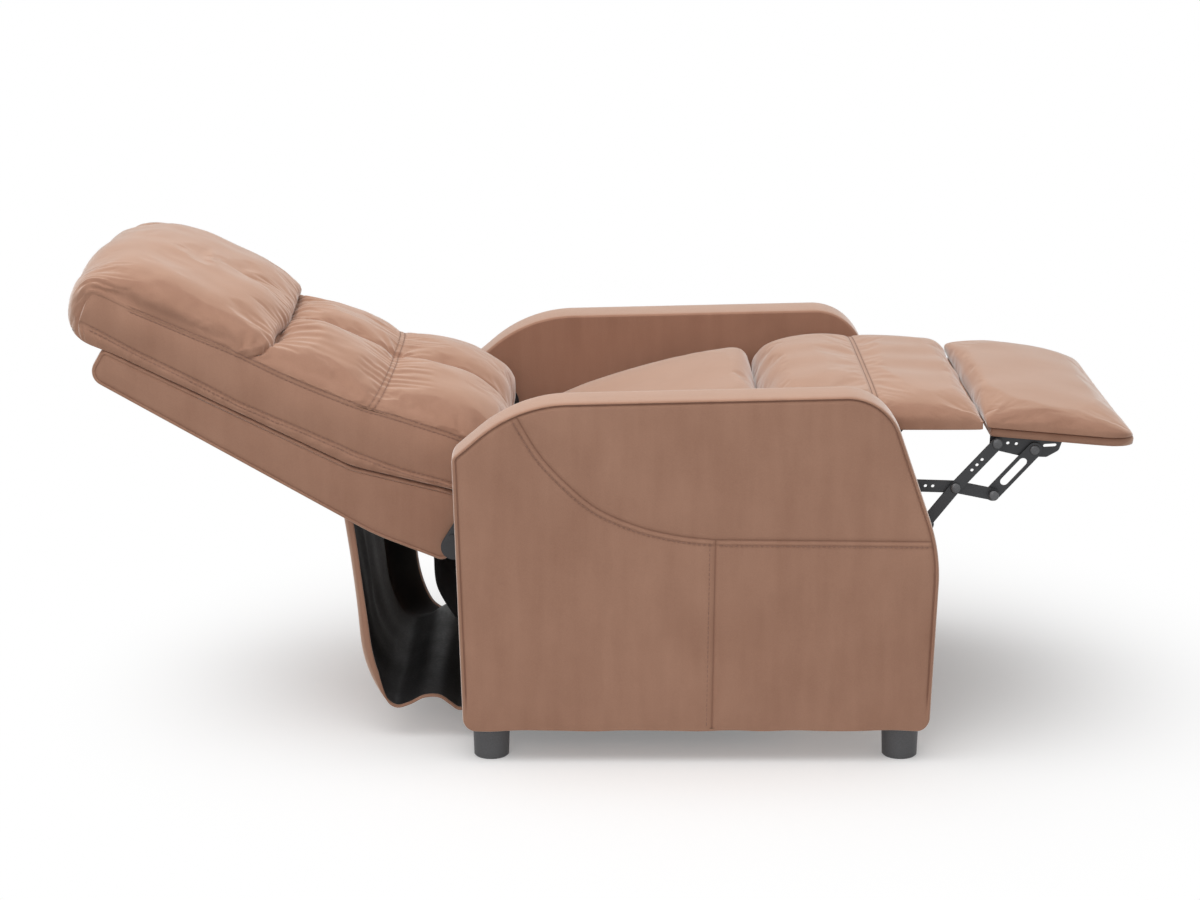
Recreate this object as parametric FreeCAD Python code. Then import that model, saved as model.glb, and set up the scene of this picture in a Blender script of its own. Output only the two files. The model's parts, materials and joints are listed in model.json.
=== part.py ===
import FreeCAD, Part
import cmath
import math
import os

os.makedirs("parts", exist_ok=True)

# Driving sizes in millimetres and degrees. The chair is drawn fully reclined with
# the footrest out: x runs to the front, y to the sitter's left, z up from the floor.
INNER_WIDTH = 550.0          # clear width between the arms
ARM_THICKNESS = 75.0
ARM_LENGTH = 670.0
ARM_HEIGHT = 525.0
ARM_REAR = -200.0            # rear edge of the arms
ARM_EDGE_ROUND = 8.0
COVER_THICKNESS = 10.0       # padded cloth around the arm frame
FOOT_HEIGHT = 45.0
FOOT_RADIUS = 26.0
FOOT_INSET = 47.0            # foot axis from the arm's rear or front edge

RAIL_THICKNESS = 20.0
RAIL_HEIGHT = 70.0
RAIL_LIFT = 5.0              # rail underside above the arm underside
FRONT_RAIL_X = 250.0
REAR_RAIL_X = -172.0

BACK_PIVOT_X = -150.0
BACK_PIVOT_Z = 380.0
BACK_SLOPE = 25.5            # backrest above the floor when reclined
RECLINE = 48.0               # swing of the back from reclined to upright
SEAT_PIVOT_X = -70.0
SEAT_PIVOT_Z = 270.0
SEAT_SWING = 6.0             # the seat levels by this much when the back is upright

SEAT_REAR_X = -95.0          # rear top edge of the seat rails
SEAT_REAR_Z = 330.0
SEAT_SLOPE = 13.6
SEAT_RAIL_HEIGHT = 36.0
SEAT_RAIL_WIDTH = 37.0
SEAT_CROSS_RAIL = 25.0
SEAT_RAIL_RUN = 455.0        # rear edge of the front cross rail along the seat
SEAT_FRONT_X = 380.0
LIFT_JOINT_RUN = 314.0       # lift crank's joint along the seat and below its top line
LIFT_JOINT_DROP = 84.0
HINGE_RISE = 10.0            # flap hinge above the seat's top line

FLAP_LENGTH = 146.0
FLAP_BOARD = 10.5
FLAP_SWING = 84.0
FOOTREST_LENGTH = 204.0
FOOTREST_BOARD = 12.0
FOOTREST_SLOPE = 5.0
FOOTREST_SWING = 79.0
LONG_LINK_SWING = -15.0      # turn of the long link against the seat during the fold

PLATE_THICKNESS = 3.0        # base plates on the arms
LINK_THICKNESS = 4.0
LINK_GAP = 1.0               # side gap between neighbouring links
PIN_RADIUS = 5.0
PIVOT_RADIUS = 6.0
HEAD_THICKNESS = 2.6
RUN_GAP = 0.2                # pin in a turning hole
OPEN_GAP = 1.0               # side room of a pin in a slot
FIT_GAP = 0.05               # pin or screw in a fixed hole
HEAD_GAP = 0.2               # rivet head from the plate it holds
SOFT_GAP = 1.0               # between neighbouring cushions
SEAT_GAP = 0.3               # soft piece from the hard piece that carries it
SCREW_RADIUS = 2.5
SCREW_HEAD_RADIUS = 5.0
SCREW_HEAD = 2.0

HALF_INNER = INNER_WIDTH / 2
HALF_OUTER = HALF_INNER + ARM_THICKNESS
ARM_FRONT = ARM_REAR + ARM_LENGTH
RAIL_BOTTOM = FOOT_HEIGHT + RAIL_LIFT
RAIL_TOP = RAIL_BOTTOM + RAIL_HEIGHT
parts = {}


def at(x, z):
    """A point of the side view."""
    return FreeCAD.Vector(x, 0, z)


def turned(point, centre, degrees):
    """A side-view point swung about a cross axis; positive brings the front down."""
    swing = FreeCAD.Rotation(FreeCAD.Vector(0, 1, 0), degrees)
    return centre + swing.multVec(point - centre)


def pole(start, end, degrees):
    """The centre about which a given swing carries start to end."""
    p = complex(start.x, start.z)
    q = complex(end.x, end.z)
    spin = cmath.exp(-1j * math.radians(degrees))
    c = (q - spin * p) / (1 - spin)
    return at(c.real, c.imag)


def share(start, end, part):
    """Point at a share of the way between two points."""
    return start + (end - start) * part


def heading(start, end):
    """Angle of a line in the side view, counted like a swing about the cross axis."""
    return -math.degrees(math.atan2(end.z - start.z, end.x - start.x))


def rounded(corners):
    """Closed side-view outline from (x, z, radius) corners."""
    edges = []
    stops = []
    for i, (x, z, radius) in enumerate(corners):
        corner = at(x, z)
        before = at(*corners[i - 1][:2]) - corner
        after = at(*corners[(i + 1) % len(corners)][:2]) - corner
        before.normalize()
        after.normalize()
        if radius == 0:
            stops.append((corner, corner, corner))
            continue
        half = before.getAngle(after) / 2
        middle = before + after
        middle.normalize()
        reach = radius / math.tan(half)
        crown = corner + middle * (radius / math.sin(half) - radius)
        stops.append((corner + before * reach, crown, corner + after * reach))
    for i, (start, crown, end) in enumerate(stops):
        if start != end:
            edges.append(Part.Arc(start, crown, end).toShape())
        follow = stops[(i + 1) % len(stops)][0]
        if end.distanceToPoint(follow) > 1e-6:
            edges.append(Part.makeLine(end, follow))
    return Part.Wire(Part.__sortEdges__(edges))


def slab(outline, span):
    """Side-view outline thickened between two y values."""
    face = Part.Face(outline)
    face.translate(FreeCAD.Vector(0, span[0], 0))
    return face.extrude(FreeCAD.Vector(0, span[1] - span[0], 0))


def bar(start, end, width, span):
    """Flat link with round ends."""
    along = end - start
    along.normalize()
    out = along * (width / 2)
    side = at(-along.z, along.x) * (width / 2)
    edges = [
        Part.makeLine(start + side, end + side),
        Part.Arc(end + side, end + out, end - side).toShape(),
        Part.makeLine(end - side, start - side),
        Part.Arc(start - side, start - out, start + side).toShape(),
    ]
    return slab(Part.Wire(edges), span)


def rod(point, radius, span):
    """Round bar across the chair at a side-view point."""
    start = FreeCAD.Vector(point.x, span[0], point.z)
    return Part.makeCylinder(radius, span[1] - span[0], start, FreeCAD.Vector(0, 1, 0))


def upright(x, y, radius, low, high):
    """Round bar standing on the floor plan."""
    return Part.makeCylinder(radius, high - low, FreeCAD.Vector(x, y, low))


def block(x0, x1, y0, y1, z0, z1):
    """Box between limits."""
    return Part.makeBox(x1 - x0, y1 - y0, z1 - z0, FreeCAD.Vector(x0, y0, z0))


def joined(shapes):
    """One solid from overlapping or touching solids."""
    return shapes[0].multiFuse(shapes[1:]).removeSplitter()


def mirrored(shape):
    """The same piece on the sitter's left side."""
    return shape.mirror(FreeCAD.Vector(0, 0, 0), FreeCAD.Vector(0, 1, 0))


def both(shape):
    """A right-hand piece and its left-hand twin."""
    return Part.makeCompound([shape, mirrored(shape)])


def placed(shape, degrees, origin):
    """A piece drawn level, swung about the cross axis and set at its origin."""
    moved = shape.copy()
    moved.rotate(FreeCAD.Vector(0, 0, 0), FreeCAD.Vector(0, 1, 0), degrees)
    moved.translate(origin)
    return moved


def pillow(x, width, bottom, seam, crown, valley, bulge):
    """Cross section of a cushion: flat bottom, drawn-in sides, two lobes and a channel."""
    def spot(y, z):
        return FreeCAD.Vector(x, y, z)
    foot = width - bulge
    middle = (bottom + seam) / 2
    return Part.Wire([
        Part.makeLine(spot(-foot, bottom), spot(foot, bottom)),
        Part.Arc(spot(foot, bottom), spot(width, middle), spot(foot, seam)).toShape(),
        Part.Arc(spot(foot, seam), spot(foot / 2, crown), spot(0, valley)).toShape(),
        Part.Arc(spot(0, valley), spot(-foot / 2, crown), spot(-foot, seam)).toShape(),
        Part.Arc(spot(-foot, seam), spot(-width, middle), spot(-foot, bottom)).toShape(),
    ])


def dome(x, width, bottom, seam, crown, bulge):
    """Cross section of a plain pad: flat bottom, drawn-in sides and one crown."""
    def spot(y, z):
        return FreeCAD.Vector(x, y, z)
    foot = width - bulge
    middle = (bottom + seam) / 2
    return Part.Wire([
        Part.makeLine(spot(-foot, bottom), spot(foot, bottom)),
        Part.Arc(spot(foot, bottom), spot(width, middle), spot(foot, seam)).toShape(),
        Part.Arc(spot(foot, seam), spot(0, crown), spot(-foot, seam)).toShape(),
        Part.Arc(spot(-foot, seam), spot(-width, middle), spot(-foot, bottom)).toShape(),
    ])


def ribbon(points, thickness, half_width):
    """Sheet of cloth hung along a smooth side-view curve."""
    offset = []
    for i, point in enumerate(points):
        along = points[min(i + 1, len(points) - 1)] - points[max(i - 1, 0)]
        along.normalize()
        offset.append(point + at(-along.z, along.x) * thickness)
    one = Part.BSplineCurve()
    one.interpolate(points)
    two = Part.BSplineCurve()
    two.interpolate(offset)
    outline = Part.Wire([
        one.toShape(),
        Part.makeLine(points[-1], offset[-1]),
        two.toShape().reversed(),
        Part.makeLine(offset[0], points[0]),
    ])
    return slab(outline, (-half_width, half_width))


def layer(number):
    """Right-hand y span of a link layer, counted inward from the base plate."""
    outer = HALF_INNER - PLATE_THICKNESS - LINK_GAP - (number - 1) * (LINK_THICKNESS + LINK_GAP)
    return (-outer, LINK_THICKNESS - outer)


BASE_LAYER = (-HALF_INNER, PLATE_THICKNESS - HALF_INNER)
BRACKET_LAYER = layer(1)
SEAT_LAYER = layer(2)
LONG_LAYER = layer(3)
MAIN_LAYER = layer(4)
SLOTTED_LAYER = layer(5)
FOOTREST_LAYER = layer(6)

# Fixed pivots of the side view.
BACK_PIVOT = at(BACK_PIVOT_X, BACK_PIVOT_Z)
SEAT_PIVOT = at(SEAT_PIVOT_X, SEAT_PIVOT_Z)
zero = at(0, 0)


def seat_point(run, rise):
    """Side-view point from the seat rail's rear top edge, along and square to the seat."""
    return turned(at(run, rise), zero, -SEAT_SLOPE) + at(SEAT_REAR_X, SEAT_REAR_Z)


def rail_top(x):
    """Height of the seat rails' top line above the floor."""
    return SEAT_REAR_Z + (x - SEAT_REAR_X) * math.tan(math.radians(SEAT_SLOPE))


def back_point(run, rise):
    """Side-view point from the back pivot, up along the back and square to it."""
    return turned(at(-run, rise), zero, BACK_SLOPE) + BACK_PIVOT


# Arms: a rounded side outline, a hollow padded cover open below, a plywood frame in it.
arm_corners = [
    (ARM_REAR + 7, FOOT_HEIGHT, 18),
    (ARM_FRONT - 7, FOOT_HEIGHT, 20),
    (ARM_FRONT + 1.5, FOOT_HEIGHT + 258, 250),
    (ARM_FRONT - 75, ARM_HEIGHT + 1, 80),
    (ARM_REAR + 87, ARM_HEIGHT - 10.5, 200),
    (ARM_REAR - 3, ARM_HEIGHT - 87, 12),
]
arm_outline = rounded(arm_corners)
ARM_SPAN = (-HALF_OUTER, -HALF_INNER)
CAVITY_SPAN = (COVER_THICKNESS - HALF_OUTER, -HALF_INNER - COVER_THICKNESS)
FRAME_SPAN = (CAVITY_SPAN[0] + RUN_GAP, CAVITY_SPAN[1] - RUN_GAP)
MOUTH_INSET = 30.0
MOUTH_HEIGHT = 40.0
WINDOW_MARGIN = 90.0
WINDOW_POST = 50.0

arm_body = slab(arm_outline, ARM_SPAN)
rims = [e for e in arm_body.Edges if abs(e.BoundBox.YLength) < 1e-6]
arm_body = arm_body.makeFillet(ARM_EDGE_ROUND, rims)
cavity = slab(arm_outline.makeOffset2D(-COVER_THICKNESS), CAVITY_SPAN)
mouth_rear = ARM_REAR + MOUTH_INSET
mouth_front = ARM_FRONT - MOUTH_INSET
mouth = block(mouth_rear, mouth_front, *CAVITY_SPAN, FOOT_HEIGHT - 1, FOOT_HEIGHT + MOUTH_HEIGHT)
arm_cover = arm_body.cut(cavity).cut(mouth)

frame_panel = slab(arm_outline.makeOffset2D(-COVER_THICKNESS - RUN_GAP), FRAME_SPAN)
frame_sill = block(mouth_rear + RUN_GAP, mouth_front - RUN_GAP, *FRAME_SPAN,
                   FOOT_HEIGHT, FOOT_HEIGHT + MOUTH_HEIGHT)
arm_frame = joined([frame_panel, frame_sill])
window_middle = (ARM_REAR + ARM_FRONT) / 2
for low, high in ((RAIL_TOP + 15, SEAT_PIVOT_Z - 80), (SEAT_PIVOT_Z + 15, ARM_HEIGHT - WINDOW_MARGIN)):
    for rear, front in ((ARM_REAR + WINDOW_MARGIN, window_middle - WINDOW_POST / 2),
                        (window_middle + WINDOW_POST / 2, ARM_FRONT - WINDOW_MARGIN)):
        arm_frame = arm_frame.cut(block(rear, front, *ARM_SPAN, low, high))

# Feet: tapered plastic pegs with a threaded bolt up into the frame sill.
FOOT_TAPER = 1.5
FOOT_EDGE = 2.0
BOLT_RADIUS = 4.0
BOLT_DEPTH = 28.0
foot_y = -(HALF_INNER + HALF_OUTER) / 2
foot_rear_x = ARM_REAR + FOOT_INSET
foot_front_x = ARM_FRONT - FOOT_INSET
foot_bolts = []
for place_name, foot_x in (("rear", foot_rear_x), ("front", foot_front_x)):
    peg = Part.makeCone(FOOT_RADIUS - FOOT_TAPER, FOOT_RADIUS, FOOT_HEIGHT)
    peg = peg.makeChamfer(FOOT_EDGE, [e for e in peg.Edges if e.BoundBox.ZMax < 1e-6])
    peg.translate(FreeCAD.Vector(foot_x, foot_y, 0))
    bolt = upright(foot_x, foot_y, BOLT_RADIUS, FOOT_HEIGHT - BOLT_DEPTH, FOOT_HEIGHT + BOLT_DEPTH)
    socket = upright(foot_x, foot_y, BOLT_RADIUS + FIT_GAP,
                     FOOT_HEIGHT - BOLT_DEPTH - FIT_GAP, FOOT_HEIGHT + BOLT_DEPTH + FIT_GAP)
    peg = peg.cut(socket)
    arm_frame = arm_frame.cut(socket)
    parts["foot_" + place_name + "_right"] = peg
    parts["foot_" + place_name + "_left"] = mirrored(peg)
    foot_bolts += [bolt, mirrored(bolt)]
parts["foot_bolts"] = Part.makeCompound(foot_bolts)

# Cross rails between the arms, held by two bolts at each end.
RAIL_BOLT_RADIUS = 4.0
RAIL_BOLT_REACH = 32.0
rail_bolts = []
for rail_name, rail_x in (("front_rail", FRONT_RAIL_X), ("rear_rail", REAR_RAIL_X)):
    rail = block(rail_x, rail_x + RAIL_THICKNESS, -HALF_INNER, HALF_INNER, RAIL_BOTTOM, RAIL_TOP)
    for level in (0.25, 0.75):
        spot = at(rail_x + RAIL_THICKNESS / 2, RAIL_BOTTOM + level * RAIL_HEIGHT)
        span = (-HALF_INNER - RAIL_BOLT_REACH, RAIL_BOLT_REACH - HALF_INNER)
        bolt = rod(spot, RAIL_BOLT_RADIUS, span)
        bore = rod(spot, RAIL_BOLT_RADIUS + FIT_GAP, (span[0] - FIT_GAP, span[1] + FIT_GAP))
        rail = rail.cut(bore).cut(mirrored(bore))
        arm_cover = arm_cover.cut(bore)
        arm_frame = arm_frame.cut(bore)
        rail_bolts += [bolt, mirrored(bolt)]
    parts[rail_name] = rail
parts["rail_bolts"] = Part.makeCompound(rail_bolts)

# Dust cloth stapled under the two rails.
DUST_CLOTH = 1.5
DUST_MARGIN = 6.0
parts["dust_cover"] = block(
    REAR_RAIL_X + RAIL_THICKNESS / 2, FRONT_RAIL_X + RAIL_THICKNESS - DUST_MARGIN,
    DUST_MARGIN - HALF_INNER, HALF_INNER - DUST_MARGIN, RAIL_BOTTOM - DUST_CLOTH, RAIL_BOTTOM)

# Lift crank: a short link under the seat front; its length fixes its swing.
LIFT_JOINT = seat_point(LIFT_JOINT_RUN, -LIFT_JOINT_DROP)
LIFT_LENGTH = 42.0
LIFT_WIDTH = 30.0
LIFT_PLAY = 2.8              # play of the lift joint's pin to the front
lift_low = turned(LIFT_JOINT, SEAT_PIVOT, SEAT_SWING)
lift_drop = lift_low - LIFT_JOINT
lift_swing = 2 * math.degrees(math.asin(lift_drop.Length / 2 / LIFT_LENGTH))
LIFT_PIVOT = pole(LIFT_JOINT, lift_low, lift_swing)

# Base plates: flat steel along the arms' inner faces with lugs for the three pivots.
BASE_BAR_WIDTH = 44.0
BASE_BAR_Z = SEAT_PIVOT_Z - 35
BASE_REAR_X = BACK_PIVOT_X + BASE_BAR_WIDTH / 2
BASE_FRONT_X = LIFT_JOINT.x
base_plate = joined([
    bar(at(BASE_REAR_X, BASE_BAR_Z), at(BASE_FRONT_X, BASE_BAR_Z), BASE_BAR_WIDTH, BASE_LAYER),
    bar(BACK_PIVOT, at(BASE_REAR_X, BASE_BAR_Z), BASE_BAR_WIDTH, BASE_LAYER),
    bar(SEAT_PIVOT, at(SEAT_PIVOT_X, BASE_BAR_Z), BASE_BAR_WIDTH, BASE_LAYER),
    bar(LIFT_PIVOT, at(LIFT_PIVOT.x, BASE_BAR_Z), BASE_BAR_WIDTH, BASE_LAYER),
])
for pivot in (BACK_PIVOT, SEAT_PIVOT, LIFT_PIVOT):
    base_plate = base_plate.cut(rod(pivot, PIVOT_RADIUS + FIT_GAP, BASE_LAYER))

BASE_SCREW_REACH = 30.0
BASE_SCREW_COUNT = 4
base_screws = []
for i in range(BASE_SCREW_COUNT):
    spot = at(BASE_REAR_X + i * (BASE_FRONT_X - BASE_REAR_X) / (BASE_SCREW_COUNT - 1), BASE_BAR_Z)
    shank_span = (-HALF_INNER - BASE_SCREW_REACH, BASE_LAYER[1])
    head_span = (BASE_LAYER[1], BASE_LAYER[1] + SCREW_HEAD)
    screw = joined([rod(spot, SCREW_RADIUS, shank_span), rod(spot, SCREW_HEAD_RADIUS, head_span)])
    bore = rod(spot, SCREW_RADIUS + FIT_GAP, (shank_span[0] - FIT_GAP, shank_span[1]))
    base_plate = base_plate.cut(bore)
    arm_cover = arm_cover.cut(bore)
    arm_frame = arm_frame.cut(bore)
    base_screws += [screw, mirrored(screw)]
parts["base_plate_screws"] = Part.makeCompound(base_screws)
parts["base_plate_right"] = base_plate
parts["base_plate_left"] = mirrored(base_plate)
parts["arm_cover_right"] = arm_cover
parts["arm_cover_left"] = mirrored(arm_cover)
parts["arm_frame_right"] = arm_frame
parts["arm_frame_left"] = mirrored(arm_frame)

# Pivot pins of the base plates: back, seat (with a spacer collar) and lift crank.
PIVOT_HEAD_RADIUS = 9.0
LIFT_HEAD_RADIUS = 8.0
pin_start = BASE_LAYER[0] + RUN_GAP
back_pin_end = BRACKET_LAYER[1] + HEAD_GAP
seat_pin_end = SEAT_LAYER[1] + HEAD_GAP
back_pin = joined([
    rod(BACK_PIVOT, PIVOT_RADIUS, (pin_start, back_pin_end)),
    rod(BACK_PIVOT, PIVOT_HEAD_RADIUS, (back_pin_end, back_pin_end + HEAD_THICKNESS)),
])
seat_pin = joined([
    rod(SEAT_PIVOT, PIVOT_RADIUS, (pin_start, seat_pin_end)),
    rod(SEAT_PIVOT, PIVOT_HEAD_RADIUS, (BASE_LAYER[1], SEAT_LAYER[0] - HEAD_GAP)),
    rod(SEAT_PIVOT, PIVOT_HEAD_RADIUS, (seat_pin_end, seat_pin_end + HEAD_THICKNESS)),
])
lift_pin = joined([
    rod(LIFT_PIVOT, PIVOT_RADIUS, (pin_start, back_pin_end)),
    rod(LIFT_PIVOT, LIFT_HEAD_RADIUS, (back_pin_end, back_pin_end + HEAD_THICKNESS)),
])
parts["base_pivot_pins"] = Part.makeCompound([both(back_pin), both(seat_pin), both(lift_pin)])

# Footrest linkage. The long and slotted links, the main link's outer arm and the
# footrest bracket make a parallelogram, so the footrest turns with the main link.
HINGE_RADIUS = 4.5
LEAF = 2.0
FLAP_SETBACK = 3.5           # flap's rear edge from the hinge axis
FLAP_TO_FOOTREST = 11.0      # flap's front edge to the footrest board, footrest out
FOOTREST_DROP = 9.5          # footrest board's underside below the flap's
FOLDED_TO_FOOTREST = 8.0     # the same two gaps with the footrest folded
FOLDED_DROP = 3.0
GUIDE_STAND = 125.0          # guide pivot from the chord of the long link's foot
FLAP_PIVOT = at(SEAT_FRONT_X + HINGE_RADIUS, rail_top(SEAT_FRONT_X) + HINGE_RISE)
flap_bottom = FLAP_PIVOT.z + HINGE_RADIUS
flap_rear = FLAP_PIVOT.x + FLAP_SETBACK
flap_front = flap_rear + FLAP_LENGTH
FOOTREST_ORIGIN = at(flap_front + FLAP_TO_FOOTREST, flap_bottom - FOOTREST_DROP)
LONG_TIP = FOOTREST_ORIGIN + at(10.0, -12.0)  # long link and footrest bracket
CROSS_PIVOT = LONG_TIP + at(-57.0, -63.0)     # main link and long link
SLOTTED_FOOT = CROSS_PIVOT + at(54.0, -11.0)  # main link and slotted link
SLOTTED_TIP = LONG_TIP + (SLOTTED_FOOT - CROSS_PIVOT)
LONG_FOOT = CROSS_PIVOT + at(-43.0, -55.0)    # long link and guide link

folded_end = at(flap_front + FOLDED_TO_FOOTREST, flap_bottom - FOLDED_DROP)
folded_origin = turned(folded_end, FLAP_PIVOT, FLAP_SWING)
folded_tip = folded_origin + turned(LONG_TIP - FOOTREST_ORIGIN, zero, FOOTREST_SWING)
folded_cross = folded_tip + turned(CROSS_PIVOT - LONG_TIP, zero, LONG_LINK_SWING)
folded_foot = folded_cross + turned(LONG_FOOT - CROSS_PIVOT, zero, LONG_LINK_SWING)
MAIN_PIVOT = pole(CROSS_PIVOT, folded_cross, FOOTREST_SWING)
chord = folded_foot - LONG_FOOT
GUIDE_PIVOT = (LONG_FOOT + folded_foot) * 0.5 + at(chord.z, -chord.x).normalize() * GUIDE_STAND
guide_swing = heading(GUIDE_PIVOT, folded_foot) - heading(GUIDE_PIVOT, LONG_FOOT)

MAIN_WIDTH = 17.0
LONG_WIDTH = 16.0
SLOTTED_WIDTH = 21.0
SLOTTED_WALL = 4.5
GUIDE_WIDTH = 16.0
GUIDE_PLAY = 4.0             # play of the guide link's pin along its slot
GUIDE_WAY = at(0.85, 0.52)   # direction of that slot in the long link
SLOT_BOSS = 22.0             # width of the long link round that slot
RIVET_HEAD_RADIUS = 7.0
TRIM_HOLE_RADIUS = 2.4


def rivet(point, start, end, outward):
    """Shank between two y values with a head past the end; outward is away from the middle."""
    shank = rod(point, PIN_RADIUS, (min(start, end), max(start, end)))
    tip = end - HEAD_THICKNESS if outward else end + HEAD_THICKNESS
    head = rod(point, RIVET_HEAD_RADIUS, (min(end, tip), max(end, tip)))
    return [shank, head]


long_head = LONG_LAYER[0] - HEAD_GAP
main_link = joined([
    bar(MAIN_PIVOT, CROSS_PIVOT, MAIN_WIDTH, MAIN_LAYER),
    bar(CROSS_PIVOT, SLOTTED_FOOT, MAIN_WIDTH, MAIN_LAYER),
] + rivet(CROSS_PIVOT, MAIN_LAYER[1], long_head, True)
    + rivet(SLOTTED_FOOT, MAIN_LAYER[0], SLOTTED_LAYER[1] + HEAD_GAP, False))
main_link = main_link.cut(rod(MAIN_PIVOT, PIN_RADIUS + RUN_GAP, MAIN_LAYER))
for part_way in (0.76, 0.82):
    main_link = main_link.cut(rod(share(MAIN_PIVOT, CROSS_PIVOT, part_way), TRIM_HOLE_RADIUS, MAIN_LAYER))
parts["main_links"] = both(main_link)

slot_end = LONG_FOOT + GUIDE_WAY * GUIDE_PLAY
long_link = joined([
    bar(LONG_FOOT, CROSS_PIVOT, LONG_WIDTH, LONG_LAYER),
    bar(CROSS_PIVOT, LONG_TIP, LONG_WIDTH, LONG_LAYER),
    bar(LONG_FOOT, slot_end, SLOT_BOSS, LONG_LAYER),
] + rivet(LONG_TIP, LONG_LAYER[0], FOOTREST_LAYER[1] + HEAD_GAP, False))
long_link = long_link.cut(rod(CROSS_PIVOT, PIN_RADIUS + RUN_GAP, LONG_LAYER))
long_link = long_link.cut(bar(LONG_FOOT, slot_end, 2 * (PIN_RADIUS + OPEN_GAP), LONG_LAYER))
for part_way in (0.40, 0.52, 0.64):
    long_link = long_link.cut(rod(share(CROSS_PIVOT, LONG_TIP, part_way), TRIM_HOLE_RADIUS, LONG_LAYER))
parts["long_links"] = both(long_link)

slotted_link = joined([
    bar(SLOTTED_FOOT, SLOTTED_TIP, SLOTTED_WIDTH, SLOTTED_LAYER),
] + rivet(SLOTTED_TIP, SLOTTED_LAYER[0], FOOTREST_LAYER[1] + HEAD_GAP, False))
slotted_link = slotted_link.cut(rod(SLOTTED_FOOT, PIN_RADIUS + RUN_GAP, SLOTTED_LAYER))
window_start = share(SLOTTED_FOOT, SLOTTED_TIP, 0.28)
window_end = share(SLOTTED_FOOT, SLOTTED_TIP, 0.72)
window_width = SLOTTED_WIDTH - 2 * SLOTTED_WALL
slotted_link = slotted_link.cut(bar(window_start, window_end, window_width, SLOTTED_LAYER))
parts["slotted_links"] = both(slotted_link)

TUBE_RADIUS = 11.0
TUBE_BORE = 8.6
guide_link = joined([
    bar(GUIDE_PIVOT, LONG_FOOT, GUIDE_WIDTH, MAIN_LAYER),
    bar(GUIDE_PIVOT, share(GUIDE_PIVOT, LONG_FOOT, 0.2), 2 * TUBE_RADIUS + 4, MAIN_LAYER),
] + rivet(LONG_FOOT, MAIN_LAYER[1], long_head, True))
guide_link = guide_link.cut(rod(GUIDE_PIVOT, PIN_RADIUS + RUN_GAP, MAIN_LAYER))
parts["guide_links"] = both(guide_link)
guide_span = (MAIN_LAYER[1], -MAIN_LAYER[1])
parts["guide_tube"] = rod(GUIDE_PIVOT, TUBE_RADIUS, guide_span).cut(rod(GUIDE_PIVOT, TUBE_BORE, guide_span))

# Footrest: steel brackets, a board and a crowned pad, drawn level and then sloped.
FLANGE_WIDTH = 28.0
FOOTREST_HALF = HALF_INNER - 9.0
BOARD_HALF = FOOTREST_HALF - 8.0
BOARD_CORNER = 35.0
BRACKET_LENGTH = 104.0
footrest_screw_runs = (30.0, 88.0)
bracket_web = slab(rounded([
    (2, 0, 0), (BRACKET_LENGTH, 0, 0), (BRACKET_LENGTH - 4, -16, 8),
    (BRACKET_LENGTH - 20, -27, 6), (50, -29, 10), (3, -22, 9),
]), FOOTREST_LAYER)
flange_inner = FOOTREST_LAYER[0] + FLANGE_WIDTH
bracket_flange = block(2, BRACKET_LENGTH, FOOTREST_LAYER[0], flange_inner, -PLATE_THICKNESS, 0)
bracket = joined([bracket_web, bracket_flange])
tip_spot = turned(LONG_TIP - FOOTREST_ORIGIN, zero, -FOOTREST_SLOPE)
slotted_spot = turned(SLOTTED_TIP - FOOTREST_ORIGIN, zero, -FOOTREST_SLOPE)
for spot in (tip_spot, slotted_spot):
    bracket = bracket.cut(rod(spot, PIN_RADIUS + RUN_GAP, FOOTREST_LAYER))
for run in (28.0, 40.0):
    bracket = bracket.cut(rod(at(run, -12), TRIM_HOLE_RADIUS, FOOTREST_LAYER))
bracket = bracket.cut(bar(at(80, -11), at(94, -9), 2 * TRIM_HOLE_RADIUS, FOOTREST_LAYER))

footrest_board = block(2, FOOTREST_LENGTH - 7, -BOARD_HALF, BOARD_HALF, 0, FOOTREST_BOARD)
footrest_board = footrest_board.makeFillet(BOARD_CORNER, [
    e for e in footrest_board.Edges
    if e.BoundBox.ZLength > 1 and e.BoundBox.XMin > FOOTREST_LENGTH / 2])
footrest_screws = []
for run in footrest_screw_runs:
    screw_y = FOOTREST_LAYER[1] + FLANGE_WIDTH / 3
    shank = upright(run, screw_y, SCREW_RADIUS, -PLATE_THICKNESS, FOOTREST_BOARD - 2)
    head = upright(run, screw_y, SCREW_HEAD_RADIUS, -PLATE_THICKNESS - SCREW_HEAD, -PLATE_THICKNESS)
    bore = upright(run, screw_y, SCREW_RADIUS + FIT_GAP, -PLATE_THICKNESS, FOOTREST_BOARD - 2 + FIT_GAP)
    screw = joined([shank, head])
    bracket = bracket.cut(bore)
    footrest_board = footrest_board.cut(bore).cut(mirrored(bore))
    footrest_screws += [screw, mirrored(screw)]

pad_low = FOOTREST_BOARD
footrest_pad = Part.makeLoft([
    dome(0, FOOTREST_HALF - 4, pad_low, pad_low + 8, pad_low + 17, 3),
    dome(28, FOOTREST_HALF, pad_low, pad_low + 10, pad_low + 24, 3),
    dome(FOOTREST_LENGTH * 0.72, FOOTREST_HALF, pad_low, pad_low + 9, pad_low + 23, 3),
    dome(FOOTREST_LENGTH, FOOTREST_HALF - 10, pad_low, pad_low + 4, pad_low + 8, 2),
], True)
footrest_pieces = {
    "footrest_bracket_right": bracket,
    "footrest_bracket_left": mirrored(bracket),
    "footrest_board": footrest_board,
    "footrest_screws": Part.makeCompound(footrest_screws),
    "footrest_pad": footrest_pad,
}
for piece_name, piece in footrest_pieces.items():
    parts[piece_name] = placed(piece, FOOTREST_SLOPE, FOOTREST_ORIGIN)

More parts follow.
